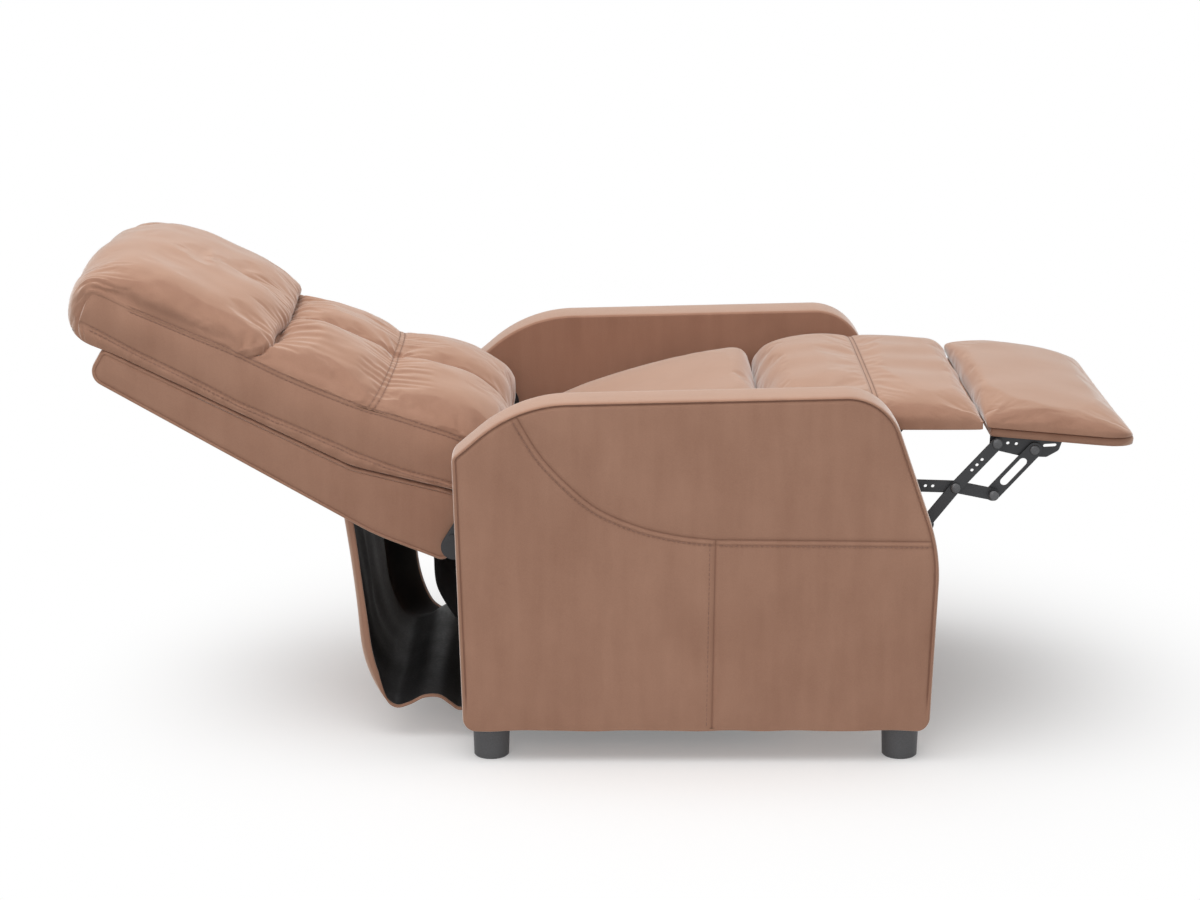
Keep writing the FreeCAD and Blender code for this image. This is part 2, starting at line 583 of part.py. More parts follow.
# Seat rails: two side rails in steel side plates, a rear and a front cross rail.
SEAT_MIDLINE = -SEAT_RAIL_HEIGHT / 2
rail_outer = -SEAT_LAYER[1]
rail_inner = rail_outer - SEAT_RAIL_WIDTH
front_top = rail_top(SEAT_FRONT_X)
FRONT_RAIL_DROP = 37.0
side_outline = Part.makePolygon([
    seat_point(0, 0), seat_point(SEAT_RAIL_RUN, 0),
    seat_point(SEAT_RAIL_RUN, -SEAT_RAIL_HEIGHT), seat_point(0, -SEAT_RAIL_HEIGHT), seat_point(0, 0)])
seat_rail = slab(side_outline, (-rail_outer, -rail_inner))
front_outline = Part.makePolygon([
    seat_point(SEAT_RAIL_RUN, 0), at(SEAT_FRONT_X, front_top), at(SEAT_FRONT_X, front_top - FRONT_RAIL_DROP),
    seat_point(SEAT_RAIL_RUN, -SEAT_RAIL_HEIGHT), seat_point(SEAT_RAIL_RUN, 0)])
parts["seat_rail_front"] = slab(front_outline, (-rail_outer, rail_outer))
rear_outline = Part.makePolygon([
    seat_point(0, 0), seat_point(SEAT_CROSS_RAIL, 0), seat_point(SEAT_CROSS_RAIL, -SEAT_RAIL_HEIGHT),
    seat_point(0, -SEAT_RAIL_HEIGHT), seat_point(0, 0)])
parts["seat_rail_rear"] = slab(rear_outline, (-rail_inner, rail_inner))

# Zigzag springs between the cross rails, just below their top faces.
SPRING_COUNT = 4
SPRING_ROWS = 15
SPRING_WIRE = 1.9
SPRING_HALF = 20.0
SPRING_DEPTH = 4.0
spring_first = SEAT_CROSS_RAIL + SPRING_WIRE + FIT_GAP
spring_pitch = (SEAT_RAIL_RUN - SPRING_WIRE - FIT_GAP - spring_first) / (SPRING_ROWS - 1)
springs = []
for i in range(SPRING_COUNT):
    middle = (i - (SPRING_COUNT - 1) / 2) * 2 * rail_inner / SPRING_COUNT
    edges = []
    for row in range(SPRING_ROWS):
        run = spring_first + row * spring_pitch
        way = 1 if row % 2 == 0 else -1
        start = FreeCAD.Vector(run, middle - way * SPRING_HALF, -SPRING_DEPTH)
        end = FreeCAD.Vector(run, middle + way * SPRING_HALF, -SPRING_DEPTH)
        edges.append(Part.makeLine(start, end))
        if row < SPRING_ROWS - 1:
            bend = FreeCAD.Vector(run + spring_pitch / 2, end.y + way * spring_pitch / 2, -SPRING_DEPTH)
            step = FreeCAD.Vector(run + spring_pitch, end.y, -SPRING_DEPTH)
            edges.append(Part.Arc(end, bend, step).toShape())
    path = Part.Wire(edges)
    tip = path.Vertexes[0].Point
    ring = Part.Wire(Part.makeCircle(SPRING_WIRE, tip, FreeCAD.Vector(0, 1, 0)))
    springs.append(path.makePipeShell([ring], True, False))
parts["seat_springs"] = placed(Part.makeCompound(springs), -SEAT_SLOPE, at(SEAT_REAR_X, SEAT_REAR_Z))

# Seat side plates with lugs for the seat, lift, guide and main pivots.
SEAT_BAR_WIDTH = 30.0
LUG_WIDTH = 32.0
SEAT_BAR_START = 22.0
SEAT_BAR_END = SEAT_RAIL_RUN - 16
bar_start = seat_point(SEAT_BAR_START, SEAT_MIDLINE)
bar_end = seat_point(SEAT_BAR_END, SEAT_MIDLINE)
seat_plate = joined([
    bar(bar_start, bar_end, SEAT_BAR_WIDTH, SEAT_LAYER),
    bar(SEAT_PIVOT, bar_start, LUG_WIDTH, SEAT_LAYER),
    bar(LIFT_JOINT, seat_point(LIFT_JOINT.x - SEAT_REAR_X, SEAT_MIDLINE), LUG_WIDTH, SEAT_LAYER),
    bar(GUIDE_PIVOT, seat_point(GUIDE_PIVOT.x - SEAT_REAR_X, SEAT_MIDLINE), LUG_WIDTH, SEAT_LAYER),
    bar(MAIN_PIVOT, bar_end, LUG_WIDTH, SEAT_LAYER),
])
seat_plate = seat_plate.cut(rod(SEAT_PIVOT, PIVOT_RADIUS + RUN_GAP, SEAT_LAYER))
seat_plate = seat_plate.cut(bar(LIFT_JOINT, LIFT_JOINT + at(LIFT_PLAY, 0),
                                2 * (PIN_RADIUS + OPEN_GAP), SEAT_LAYER))
linkage_pins = []
main_pin_end = MAIN_LAYER[1] + HEAD_GAP
for pivot in (GUIDE_PIVOT, MAIN_PIVOT):
    seat_plate = seat_plate.cut(rod(pivot, PIN_RADIUS + FIT_GAP, SEAT_LAYER))
    pin = joined([
        rod(pivot, PIN_RADIUS, (SEAT_LAYER[0], main_pin_end)),
        rod(pivot, RIVET_HEAD_RADIUS, (SEAT_LAYER[1], MAIN_LAYER[0] - HEAD_GAP)),
        rod(pivot, RIVET_HEAD_RADIUS, (main_pin_end, main_pin_end + HEAD_THICKNESS)),
    ])
    linkage_pins += [pin, mirrored(pin)]
parts["linkage_pivot_pins"] = Part.makeCompound(linkage_pins)

SEAT_SCREW_REACH = 28.0
seat_screws = []
for run in (80.0, 200.0, SEAT_RAIL_RUN - 60):
    spot = seat_point(run, SEAT_MIDLINE)
    shank_span = (SEAT_LAYER[0], SEAT_LAYER[1] + SEAT_SCREW_REACH)
    screw = joined([rod(spot, SCREW_RADIUS, shank_span),
                    rod(spot, SCREW_HEAD_RADIUS, (SEAT_LAYER[0] - SCREW_HEAD, SEAT_LAYER[0]))])
    bore = rod(spot, SCREW_RADIUS + FIT_GAP, (shank_span[0], shank_span[1] + FIT_GAP))
    seat_plate = seat_plate.cut(bore)
    seat_rail = seat_rail.cut(bore)
    seat_screws += [screw, mirrored(screw)]
parts["seat_plate_screws"] = Part.makeCompound(seat_screws)
parts["seat_plate_right"] = seat_plate
parts["seat_plate_left"] = mirrored(seat_plate)
parts["seat_rail_right"] = seat_rail
parts["seat_rail_left"] = mirrored(seat_rail)

# Seat cushion and the raised pad at its front edge.
SEAT_HALF = HALF_INNER - 7.0
SEAT_CUSHION_REAR = -18.0
SEAT_CUSHION_LAP = 14.0      # the cushion's front end before it is cut to the front pad
FRONT_PAD_REAR_X = 237.0
seat_cushion_front = (FRONT_PAD_REAR_X - SEAT_REAR_X) / math.cos(math.radians(SEAT_SLOPE)) + SEAT_CUSHION_LAP
seat_cushion = Part.makeLoft([
    dome(SEAT_CUSHION_REAR, SEAT_HALF - 12, 0, 16, 26, 4),
    dome(SEAT_CUSHION_REAR + 30, SEAT_HALF - 2, 0, 38, 56, 6),
    dome(150, SEAT_HALF, 0, 50, 76, 6),
    dome(seat_cushion_front - 42, SEAT_HALF, 0, 50, 78, 6),
    dome(seat_cushion_front, SEAT_HALF - 4, 0, 38, 58, 6),
], True)
front_trim = block(FRONT_PAD_REAR_X - SOFT_GAP, SEAT_FRONT_X, -HALF_INNER, HALF_INNER, 0, ARM_HEIGHT)
parts["seat_cushion"] = placed(seat_cushion, -SEAT_SLOPE, at(SEAT_REAR_X, SEAT_REAR_Z)).cut(front_trim)


FRONT_PAD_PROUD = 27.0       # crown of the front pad above the flap board
FRONT_PAD_CROWN = flap_bottom + FLAP_BOARD + FRONT_PAD_PROUD
front_pad_stations = (
    (FRONT_PAD_REAR_X, 6, 36, 28),
    (FRONT_PAD_REAR_X + 22, 1, 20, 9),
    (FRONT_PAD_REAR_X + 80, 0, 13, 1),
    (SEAT_FRONT_X - SEAT_GAP, 0, 14, 3),
)
parts["seat_front_pad"] = Part.makeLoft([
    dome(x, SEAT_HALF - inset, rail_top(x), FRONT_PAD_CROWN - edge_drop, FRONT_PAD_CROWN - drop, 5)
    for x, inset, edge_drop, drop in front_pad_stations], True)

# Flap between seat and footrest: board and pad on a knuckled hinge.
flap_top = flap_bottom + FLAP_BOARD
HINGE_HALF = 200.0
HINGE_SEGMENTS = 5
HINGE_PIN_RADIUS = 2.0
KNUCKLE_GAP = 0.4
LEAF_GAP = 1.0               # between the knuckles of one leaf and the other leaf's edge
SEAT_LEAF_DROP = 40.0
FLAP_LEAF_RUN = 50.0
FLAP_BOARD_HALF = FOOTREST_HALF - 4.0
parts["flap_board"] = block(flap_rear, flap_front, -FLAP_BOARD_HALF, FLAP_BOARD_HALF, flap_bottom, flap_top)
parts["flap_pad"] = Part.makeLoft([
    dome(flap_rear, FOOTREST_HALF, flap_top, flap_top + 12, flap_top + 20, 3),
    dome(flap_rear + 35, FOOTREST_HALF, flap_top, flap_top + 12, flap_top + 22, 3),
    dome(flap_front - 28, FOOTREST_HALF, flap_top, flap_top + 10, flap_top + 21, 3),
    dome(flap_front, FOOTREST_HALF - 3, flap_top, flap_top + 7, flap_top + 15, 3),
], True)
leaf_top = FLAP_PIVOT.z - HINGE_RADIUS - LEAF_GAP
leaf_rear = FLAP_PIVOT.x + HINGE_RADIUS + LEAF_GAP
seat_leaf = [block(SEAT_FRONT_X, SEAT_FRONT_X + LEAF, -HINGE_HALF, HINGE_HALF,
                   FLAP_PIVOT.z - SEAT_LEAF_DROP, leaf_top)]
flap_leaf = [block(leaf_rear, FLAP_PIVOT.x + FLAP_LEAF_RUN, -HINGE_HALF, HINGE_HALF,
                   flap_bottom - LEAF, flap_bottom)]
segment = 2 * HINGE_HALF / HINGE_SEGMENTS
for i in range(HINGE_SEGMENTS):
    span = (-HINGE_HALF + i * segment + KNUCKLE_GAP, -HINGE_HALF + (i + 1) * segment - KNUCKLE_GAP)
    barrel = rod(FLAP_PIVOT, HINGE_RADIUS, span)
    if i % 2 == 0:
        tongue = block(SEAT_FRONT_X, SEAT_FRONT_X + LEAF, *span, leaf_top, FLAP_PIVOT.z)
        seat_leaf += [barrel, tongue, rod(FLAP_PIVOT, HINGE_PIN_RADIUS, (-HINGE_HALF, HINGE_HALF))]
    else:
        tongue = block(FLAP_PIVOT.x, leaf_rear, *span, flap_bottom - LEAF, flap_bottom)
        flap_leaf += [barrel.fuse(tongue).cut(rod(FLAP_PIVOT, HINGE_PIN_RADIUS + RUN_GAP, span))]
parts["flap_hinge_seat_leaf"] = joined(seat_leaf)
parts["flap_hinge_leaf"] = joined(flap_leaf)

# Lift cranks with their cross tube; the tube carries the arm that the back's rod moves.
ROD_RADIUS = 4.0
ROD_WIDTH = 16.0
ROD_SPAN = (-3.0, 3.0)
ROD_PLAY = 2.0               # play of the rod's front pin along the rod
ROD_ARM = 125.0
ROD_ARM_LEAN = 12.0
ROD_EYE = (-14.7, -123.7)    # the rod's rear pin along the back and square to it
ARM_PLATE = (ROD_SPAN[0] - LINK_GAP - 6, ROD_SPAN[0] - LINK_GAP)
ROD_FRONT = LIFT_PIVOT + turned(at(0, -ROD_ARM), zero, ROD_ARM_LEAN)
ROD_REAR = back_point(*ROD_EYE)
LIFT_TUBE_RADIUS = 12.0
LIFT_TUBE_BORE = 9.0
lift_link = joined([
    bar(LIFT_PIVOT, LIFT_JOINT, LIFT_WIDTH, BRACKET_LAYER),
] + rivet(LIFT_JOINT, BRACKET_LAYER[0], SEAT_LAYER[1] + HEAD_GAP, False))
lift_link = lift_link.cut(rod(LIFT_PIVOT, PIVOT_RADIUS + RUN_GAP, BRACKET_LAYER))
parts["lift_links"] = both(lift_link)
lift_span = (BRACKET_LAYER[1], -BRACKET_LAYER[1])
lift_bore = rod(LIFT_PIVOT, LIFT_TUBE_BORE, lift_span)
lift_tube = joined([
    rod(LIFT_PIVOT, LIFT_TUBE_RADIUS, lift_span).cut(lift_bore),
    bar(LIFT_PIVOT, ROD_FRONT, 2 * LIFT_TUBE_RADIUS, ARM_PLATE).cut(lift_bore),
    rod(ROD_FRONT, ROD_RADIUS, (ARM_PLATE[0], ROD_SPAN[1] + HEAD_GAP)),
    rod(ROD_FRONT, ROD_RADIUS + 3, (ROD_SPAN[1] + HEAD_GAP, ROD_SPAN[1] + HEAD_GAP + HEAD_THICKNESS)),
])
parts["lift_cross_tube"] = lift_tube

control_rod = bar(ROD_REAR, ROD_FRONT, ROD_WIDTH, ROD_SPAN)
rod_way = (ROD_FRONT - ROD_REAR).normalize()
control_rod = control_rod.cut(rod(ROD_REAR, ROD_RADIUS + RUN_GAP, ROD_SPAN))
control_rod = control_rod.cut(bar(ROD_FRONT, ROD_FRONT + rod_way * ROD_PLAY,
                                  2 * (ROD_RADIUS + OPEN_GAP), ROD_SPAN))
parts["control_rod"] = control_rod

# Back: an upholstered outer shell, open to the front, with a wooden frame inside.
BACK_HALF = -SEAT_LAYER[1]
SHELL_WALL = 8.0
SHELL_LENGTH = 575.0
CROSS_SEAM = 187.0           # the cross channel above the back pivot
SHELL_RIM = -62.0            # rim at the cross channel, square to the back
SHELL_TOP_RISE = 4.5         # the rim rises by this much to the top
SHELL_REAR = -140.0          # rear face at its fullest
SHELL_FULL_RUN = 120.0
SHELL_TAPER = 34.0           # the shell thins by this much to the top
SHELL_LIP = (26.0, -18.0)    # front edge, nose and tail of the shell's lower end
SHELL_NOSE = (30.0, -66.0)
SHELL_TAIL = (-16.0, -133.0)
shell_outline = rounded([
    (*SHELL_LIP, 4), (*SHELL_NOSE, 30), (*SHELL_TAIL, 14), (-SHELL_FULL_RUN, SHELL_REAR, 300),
    (-SHELL_LENGTH, SHELL_REAR + SHELL_TAPER, 20), (4 - SHELL_LENGTH, SHELL_RIM + SHELL_TOP_RISE, 8),
    (-CROSS_SEAM, SHELL_RIM, 0),
])
shell_body = slab(shell_outline, (-BACK_HALF, BACK_HALF))
hollow = slab(shell_outline.makeOffset2D(-SHELL_WALL), (SHELL_WALL - BACK_HALF, BACK_HALF - SHELL_WALL))
mouth_low = (SHELL_LIP[0] - 2 * SHELL_WALL, SHELL_LIP[1] - 2 * SHELL_WALL)
mouth_top = 2 * SHELL_WALL - SHELL_LENGTH
rim_cut = slab(Part.makePolygon([
    at(*mouth_low), at(-CROSS_SEAM, SHELL_RIM - SHELL_WALL - SOFT_GAP), at(mouth_top, SHELL_RIM - SHELL_WALL),
    at(mouth_top, 0), at(mouth_low[0], 0), at(*mouth_low)]), (SHELL_WALL - BACK_HALF, BACK_HALF - SHELL_WALL))
back_shell = shell_body.cut(hollow).cut(rim_cut)


def shell_back(run):
    """Rear face of the shell above its fullest place."""
    return SHELL_REAR + SHELL_TAPER * (run - SHELL_FULL_RUN) / (SHELL_LENGTH - SHELL_FULL_RUN)



POST_WIDTH = 38.0
POST_START = 12.0
POST_MARGIN = 11.0           # post end from the inside of the shell's top wall
POST_RECESS = 10.0           # post front behind the shell rim
BACK_RAIL = 40.0
POST_END = SHELL_LENGTH - SHELL_WALL - POST_MARGIN
POST_FRONT = SHELL_RIM - POST_RECESS
POST_BACK = shell_back(POST_END) + SHELL_WALL + SOFT_GAP
post_outer = BACK_HALF - SHELL_WALL - RUN_GAP
post_inner = post_outer - POST_WIDTH
back_post = block(-POST_END, -POST_START, -post_outer, -post_inner, POST_BACK, POST_FRONT)
back_rail_top = block(-POST_END, BACK_RAIL - POST_END, -post_inner, post_inner, POST_BACK, POST_FRONT)
back_rail_bottom = block(-POST_START - BACK_RAIL, -POST_START, -post_inner, post_inner, POST_BACK, POST_FRONT)
WEB_COUNT = 4
WEB_WIDTH = 50.0
WEB_THICKNESS = 2.0
web_pitch = (POST_END - POST_START - 2 * BACK_RAIL) / WEB_COUNT
webs = []
for i in range(WEB_COUNT):
    run = POST_START + BACK_RAIL + (i + 0.5) * web_pitch
    webs.append(block(-run - WEB_WIDTH / 2, WEB_WIDTH / 2 - run, -post_outer + 6, post_outer - 6,
                      POST_FRONT, POST_FRONT + WEB_THICKNESS))

BRACKET_WIDTH = 36.0
bracket_tip = at(-12, -104)
back_bracket = bar(zero, bracket_tip, BRACKET_WIDTH, BRACKET_LAYER)
back_bracket = back_bracket.cut(rod(zero, PIVOT_RADIUS + RUN_GAP, BRACKET_LAYER))
BACK_SCREW_REACH = 30.0
BACK_SCREW_INSET = 6.0
BACK_SCREW_RUN = 20.0
bracket_screws = []
for rise in (POST_FRONT - BACK_SCREW_INSET, POST_BACK + BACK_SCREW_INSET):
    spot = at(-BACK_SCREW_RUN, rise)
    shank_span = (BRACKET_LAYER[0], BACK_SCREW_REACH - post_outer)
    screw = joined([rod(spot, SCREW_RADIUS, shank_span),
                    rod(spot, SCREW_HEAD_RADIUS, (BRACKET_LAYER[0] - SCREW_HEAD, BRACKET_LAYER[0]))])
    bore = rod(spot, SCREW_RADIUS + FIT_GAP, (shank_span[0], shank_span[1] + FIT_GAP))
    back_bracket = back_bracket.cut(bore)
    back_shell = back_shell.cut(bore).cut(mirrored(bore))
    back_post = back_post.cut(bore)
    bracket_screws += [screw, mirrored(screw)]

# Back cushion of four pads round a tuft, and the head roll above it.
CUSHION_END = 350.0
HEAD_REACH = 655.0
HEAD_END_ROUND = 20.0


def cushion_low(run):
    """Underside of the back cushion, just above the shell rim."""
    if run < CROSS_SEAM:
        lip_rise = (SHELL_LIP[1] - SHELL_RIM) / (SHELL_LIP[0] + CROSS_SEAM)
        return SHELL_RIM + (CROSS_SEAM - run) * lip_rise + SOFT_GAP
    return SHELL_RIM + (run - CROSS_SEAM) * SHELL_TOP_RISE / (SHELL_LENGTH - 4 - CROSS_SEAM) + SOFT_GAP


lower_stations = ((-8, 12, 10, 26, 20), (20, 1, 36, 60, 50), (75, 0, 38, 76, 62), (130, 0, 31, 71, 57),
                  (CROSS_SEAM, 0, 22, 50, 44))
upper_stations = ((CROSS_SEAM, 0, 22, 50, 44), (240, 0, 17, 61, 47), (300, 0, 13, 57, 44),
                  (CUSHION_END, 1, 11, 36, 30))
pads = []
for stations in (lower_stations, upper_stations):
    pads.append(Part.makeLoft([
        pillow(-run, BACK_HALF - inset, cushion_low(run), seam, crown, valley, 5)
        for run, inset, seam, crown, valley in stations], True))
back_cushion = pads[0].fuse(pads[1])


def head_section(y, reach, end_rise, crown, front_rise):
    """Side section of the head roll at one place across the back."""
    front = -CUSHION_END - SOFT_GAP
    low = cushion_low(CUSHION_END)
    end_low = cushion_low(reach)

    def spot(x, z):
        return FreeCAD.Vector(x, y, z)
    foot = spot(HEAD_END_ROUND - reach, end_low)
    brow = spot(HEAD_END_ROUND - reach, end_rise)
    return Part.Wire([
        Part.makeLine(spot(front, low), foot),
        Part.Arc(foot, spot(-reach, (end_low + end_rise) / 2), brow).toShape(),
        Part.Arc(brow, spot((front - reach) / 2, crown), spot(front, front_rise)).toShape(),
        Part.makeLine(spot(front, front_rise), spot(front, low)),
    ])


head_half = ((BACK_HALF, 24, 4, 14, 8), (BACK_HALF - 26, 12, 22, 56, 40), (BACK_HALF * 0.55, 3, 33, 88, 62))
head_wires = []
for y, inset, rise, crown, front in head_half:
    head_wires.append(head_section(-y, HEAD_REACH - inset, rise, crown, front))
head_wires.append(head_section(0, HEAD_REACH, 36, 94, 68))
for y, inset, rise, crown, front in reversed(head_half):
    head_wires.append(head_section(y, HEAD_REACH - inset, rise, crown, front))
head_cushion = Part.makeLoft(head_wires, True)

# Bracket under the shell for the rod that lifts the seat.
rod_spot = turned(ROD_REAR - BACK_PIVOT, zero, -BACK_SLOPE)
wall_start = at(*SHELL_TAIL)
wall_way = (at(*SHELL_NOSE) - wall_start).normalize()
wall_out = at(wall_way.z, -wall_way.x)
CONTROL_PAD_HALF = 30.0
pad_start = wall_start + wall_way * 18
pad_end = wall_start + wall_way * 52
pad_out = wall_out * PLATE_THICKNESS
pad_outline = Part.makePolygon([pad_start, pad_end, pad_end + pad_out, pad_start + pad_out, pad_start])
control_pad = slab(pad_outline, (-CONTROL_PAD_HALF, CONTROL_PAD_HALF))
lug_root = share(pad_start, pad_end, 0.3) + wall_out * (ROD_WIDTH / 2)
control_lug = bar(lug_root, rod_spot, ROD_WIDTH, ARM_PLATE)
control_bracket = joined([
    control_pad, control_lug,
    rod(rod_spot, ROD_RADIUS, (ARM_PLATE[0], ROD_SPAN[1] + HEAD_GAP)),
    rod(rod_spot, ROD_RADIUS + 3, (ROD_SPAN[1] + HEAD_GAP, ROD_SPAN[1] + HEAD_GAP + HEAD_THICKNESS)),
])

back_pieces = {
    "back_shell": back_shell,
    "back_post_right": back_post,
    "back_post_left": mirrored(back_post),
    "back_rail_top": back_rail_top,
    "back_rail_bottom": back_rail_bottom,
    "back_webbing": Part.makeCompound(webs),
    "back_bracket_right": back_bracket,
    "back_bracket_left": mirrored(back_bracket),
    "back_bracket_screws": Part.makeCompound(bracket_screws),
    "back_cushion": back_cushion,
    "head_cushion": head_cushion,
    "control_bracket": control_bracket,
}
for piece_name, piece in back_pieces.items():
    parts[piece_name] = placed(piece, BACK_SLOPE, BACK_PIVOT)

# Rear skirt: cloth sewn to the shell's rear face and stapled under the rear rail, in two
# leaves that meet at the fold behind the chair.
SKIRT_THICKNESS = 2.4
SKIRT_INSET = 17.0           # skirt and lining edges from the shell's sides
LINING_INSET = 62.0
SKIRT_RUN = 172.0            # the skirt's seam along the back
SKIRT_REACH = 117.0          # the fold behind the rear rail
SKIRT_DROP = 4.0             # the fold below the rail's underside
FOLD_GAP = 0.3
skirt_top = back_point(SKIRT_RUN, shell_back(SKIRT_RUN) - SEAT_GAP)
skirt_fold = at(REAR_RAIL_X - SKIRT_REACH, RAIL_BOTTOM - SKIRT_DROP)
lower_steps = ((8, -SEAT_GAP), (2, -SEAT_GAP), (-10, -3), (-30, -7), (-44, 6), (-59, 19), (-80, 15), (-98, 2))
lower_leaf = [at(REAR_RAIL_X + step, RAIL_BOTTOM + rise) for step, rise in lower_steps]
lower_leaf.append(skirt_fold)
upper_shares = ((0.12, 0.015), (0.307, 0.05), (0.52, 0.16), (0.64, 0.29), (0.72, 0.5), (0.853, 0.75), (1, 1))
skirt_way = skirt_top - skirt_fold
upper_leaf = [skirt_fold + at(-FOLD_GAP, 0)]
upper_leaf += [skirt_fold + at(back * skirt_way.x, up * skirt_way.z) for back, up in upper_shares]
skirt_half = BACK_HALF - SKIRT_INSET
parts["rear_skirt_lower"] = ribbon(lower_leaf, SKIRT_THICKNESS, skirt_half)
parts["rear_skirt_upper"] = ribbon(upper_leaf, SKIRT_THICKNESS, skirt_half)
lining_steps = ((-SEAT_GAP, -40), (-1.4, -20), (-5, -2), (-14, 14), (-46, 45), (-68, 92), (-66, 138))
lining = [at(REAR_RAIL_X + step, RAIL_TOP + rise) for step, rise in lining_steps]
parts["rear_lining"] = ribbon(lining, DUST_CLOTH, BACK_HALF - LINING_INSET)

# Centre the whole chair over the origin and write one file per piece.
whole = Part.makeCompound(list(parts.values())).optimalBoundingBox(False, False)
shift = FreeCAD.Vector(-(whole.XMin + whole.XMax) / 2, 0, -whole.ZMin)
for piece_name, piece in parts.items():
    piece.translate(shift)
    piece.exportStep("parts/" + piece_name + ".step")
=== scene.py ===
import json
import math

import bmesh
import bpy
import numpy as np
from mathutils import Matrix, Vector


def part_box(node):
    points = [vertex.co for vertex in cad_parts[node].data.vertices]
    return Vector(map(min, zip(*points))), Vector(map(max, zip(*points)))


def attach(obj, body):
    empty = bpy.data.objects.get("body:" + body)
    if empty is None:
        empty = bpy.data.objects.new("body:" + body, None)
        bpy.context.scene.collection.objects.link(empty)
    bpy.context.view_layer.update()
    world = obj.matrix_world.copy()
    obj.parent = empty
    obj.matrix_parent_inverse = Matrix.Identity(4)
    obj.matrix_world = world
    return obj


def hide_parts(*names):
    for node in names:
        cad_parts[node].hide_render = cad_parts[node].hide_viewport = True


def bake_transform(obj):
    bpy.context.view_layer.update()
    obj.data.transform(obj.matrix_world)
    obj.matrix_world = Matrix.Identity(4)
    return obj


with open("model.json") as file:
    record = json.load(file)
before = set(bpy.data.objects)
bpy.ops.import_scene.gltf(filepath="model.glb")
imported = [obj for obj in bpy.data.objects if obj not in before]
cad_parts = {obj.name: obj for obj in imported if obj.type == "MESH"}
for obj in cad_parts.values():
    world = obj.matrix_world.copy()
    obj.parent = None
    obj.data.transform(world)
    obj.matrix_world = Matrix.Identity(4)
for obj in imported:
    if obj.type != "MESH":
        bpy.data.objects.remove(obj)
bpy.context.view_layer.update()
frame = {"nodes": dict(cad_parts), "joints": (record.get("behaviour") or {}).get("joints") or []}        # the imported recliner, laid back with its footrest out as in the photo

# Camera, floor and light: a studio shot on white, from the chair's right side and a little above.
# The camera's place was worked out from the arms, the feet and the footrest.
CAMERA_DOWN = 13.6           # degrees that the camera looks down
scene = bpy.context.scene
scene.view_settings.view_transform = "Standard"
camera = bpy.data.objects.new("camera", bpy.data.cameras.new("camera"))
scene.collection.objects.link(camera)
camera.data.sensor_width = 36.0
camera.data.lens = 87.36
camera.location = (0.0008, -4.215, 1.386)
camera.rotation_euler = (math.radians(90.0 - CAMERA_DOWN), 0.0, 0.0)
scene.camera = camera


class Finish:
    """A socket in a material's nodes. Sums and products of it add Math nodes, add puts in any other node."""

    def __init__(self, tree, socket=None):
        self.tree = tree
        self.socket = socket

    def add(self, kind, sockets, output=0, **settings):
        """Puts in a node: its settings first, then the values or links of its sockets."""
        node = self.tree.nodes.new("ShaderNode" + kind)
        for name, value in settings.items():
            setattr(node, name, value)
        for name, value in sockets.items():
            if isinstance(value, Finish):
                self.tree.links.new(value.socket, node.inputs[name])
            else:
                node.inputs[name].default_value = value
        return Finish(self.tree, node.outputs[output] if len(node.outputs) else None)

    def __add__(self, other):
        return self.add("Math", {0: self, 1: other}, operation="ADD")

    def __mul__(self, other):
        return self.add("Math", {0: self, 1: other}, operation="MULTIPLY")

    def noise(self, place, scale, detail, **more):
        """Noise between 0 and 1 at a place."""
        return self.add("TexNoise", {"Vector": place, "Scale": scale, "Detail": detail, **more})

    def mix(self, share, first, second):
        """Colour between first and second by a share of 0 to 1."""
        return self.add("Mix", {0: share, 6: first, 7: second}, 2, data_type="RGBA")

    def ramp(self, low, high):
        """0 below low, 1 above high and straight between."""
        return self.add("MapRange", {"Value": self, "From Min": low, "From Max": high})

    def surface(self, sockets):
        """Ends a material in one Principled surface."""
        self.add("OutputMaterial", {"Surface": self.add("BsdfPrincipled", sockets)})


def new_finish(name):
    """An empty material and the start of its nodes."""
    material = bpy.data.materials.new(name)
    material.use_nodes = True
    material.node_tree.nodes.clear()
    return material, Finish(material.node_tree)


def backdrop_rays(nodes):
    """1 for the rays that show the studio's white: camera, glossy and transmission rays."""
    path = nodes.add("LightPath", {}).socket.node
    by_camera, by_gloss, through = (Finish(nodes.tree, path.outputs["Is " + kind + " Ray"])
                                    for kind in ("Camera", "Glossy", "Transmission"))
    return by_camera + by_gloss + through


WHITE = (1.0, 1.0, 1.0, 1.0)
SHADE_CENTRE = (0.15, 0.0, 0.0)
SHADED_WITHIN, WHITE_BEYOND = 0.32, 1.0    # distances from it between which the floor fades to white
floor_finish, nodes = new_finish("studio_floor")
place = nodes.add("TexCoord", {}, "Object")
far = nodes.add("VectorMath", {0: place, 1: SHADE_CENTRE}, "Value", operation="DISTANCE")
seen = backdrop_rays(nodes)
unlit, glow, white = (nodes.add("Emission", {"Color": WHITE, "Strength": strength})
                      for strength in (0.0, 0.22, 1.0))
lit = nodes.add("AddShader", {
    0: nodes.add("BsdfDiffuse", {"Color": (0.80, 0.80, 0.80, 1.0)}),
    1: nodes.add("MixShader", {0: seen, 1: unlit, 2: glow})})
edge = nodes.add("MapRange", {"Value": far, "From Min": SHADED_WITHIN, "From Max": WHITE_BEYOND},
                 interpolation_type="SMOOTHSTEP")
nodes.add("OutputMaterial", {"Surface": nodes.add("MixShader", {0: edge * seen, 1: lit, 2: white})})
floor_mesh = bpy.data.meshes.new("floor")
floor_mesh.from_pydata([(-9, -9, 0), (9, -9, 0), (9, 9, 0), (-9, 9, 0)], [], [(0, 1, 2, 3)])
floor_mesh.materials.append(floor_finish)
floor = bpy.data.objects.new("floor", floor_mesh)
scene.collection.objects.link(floor)

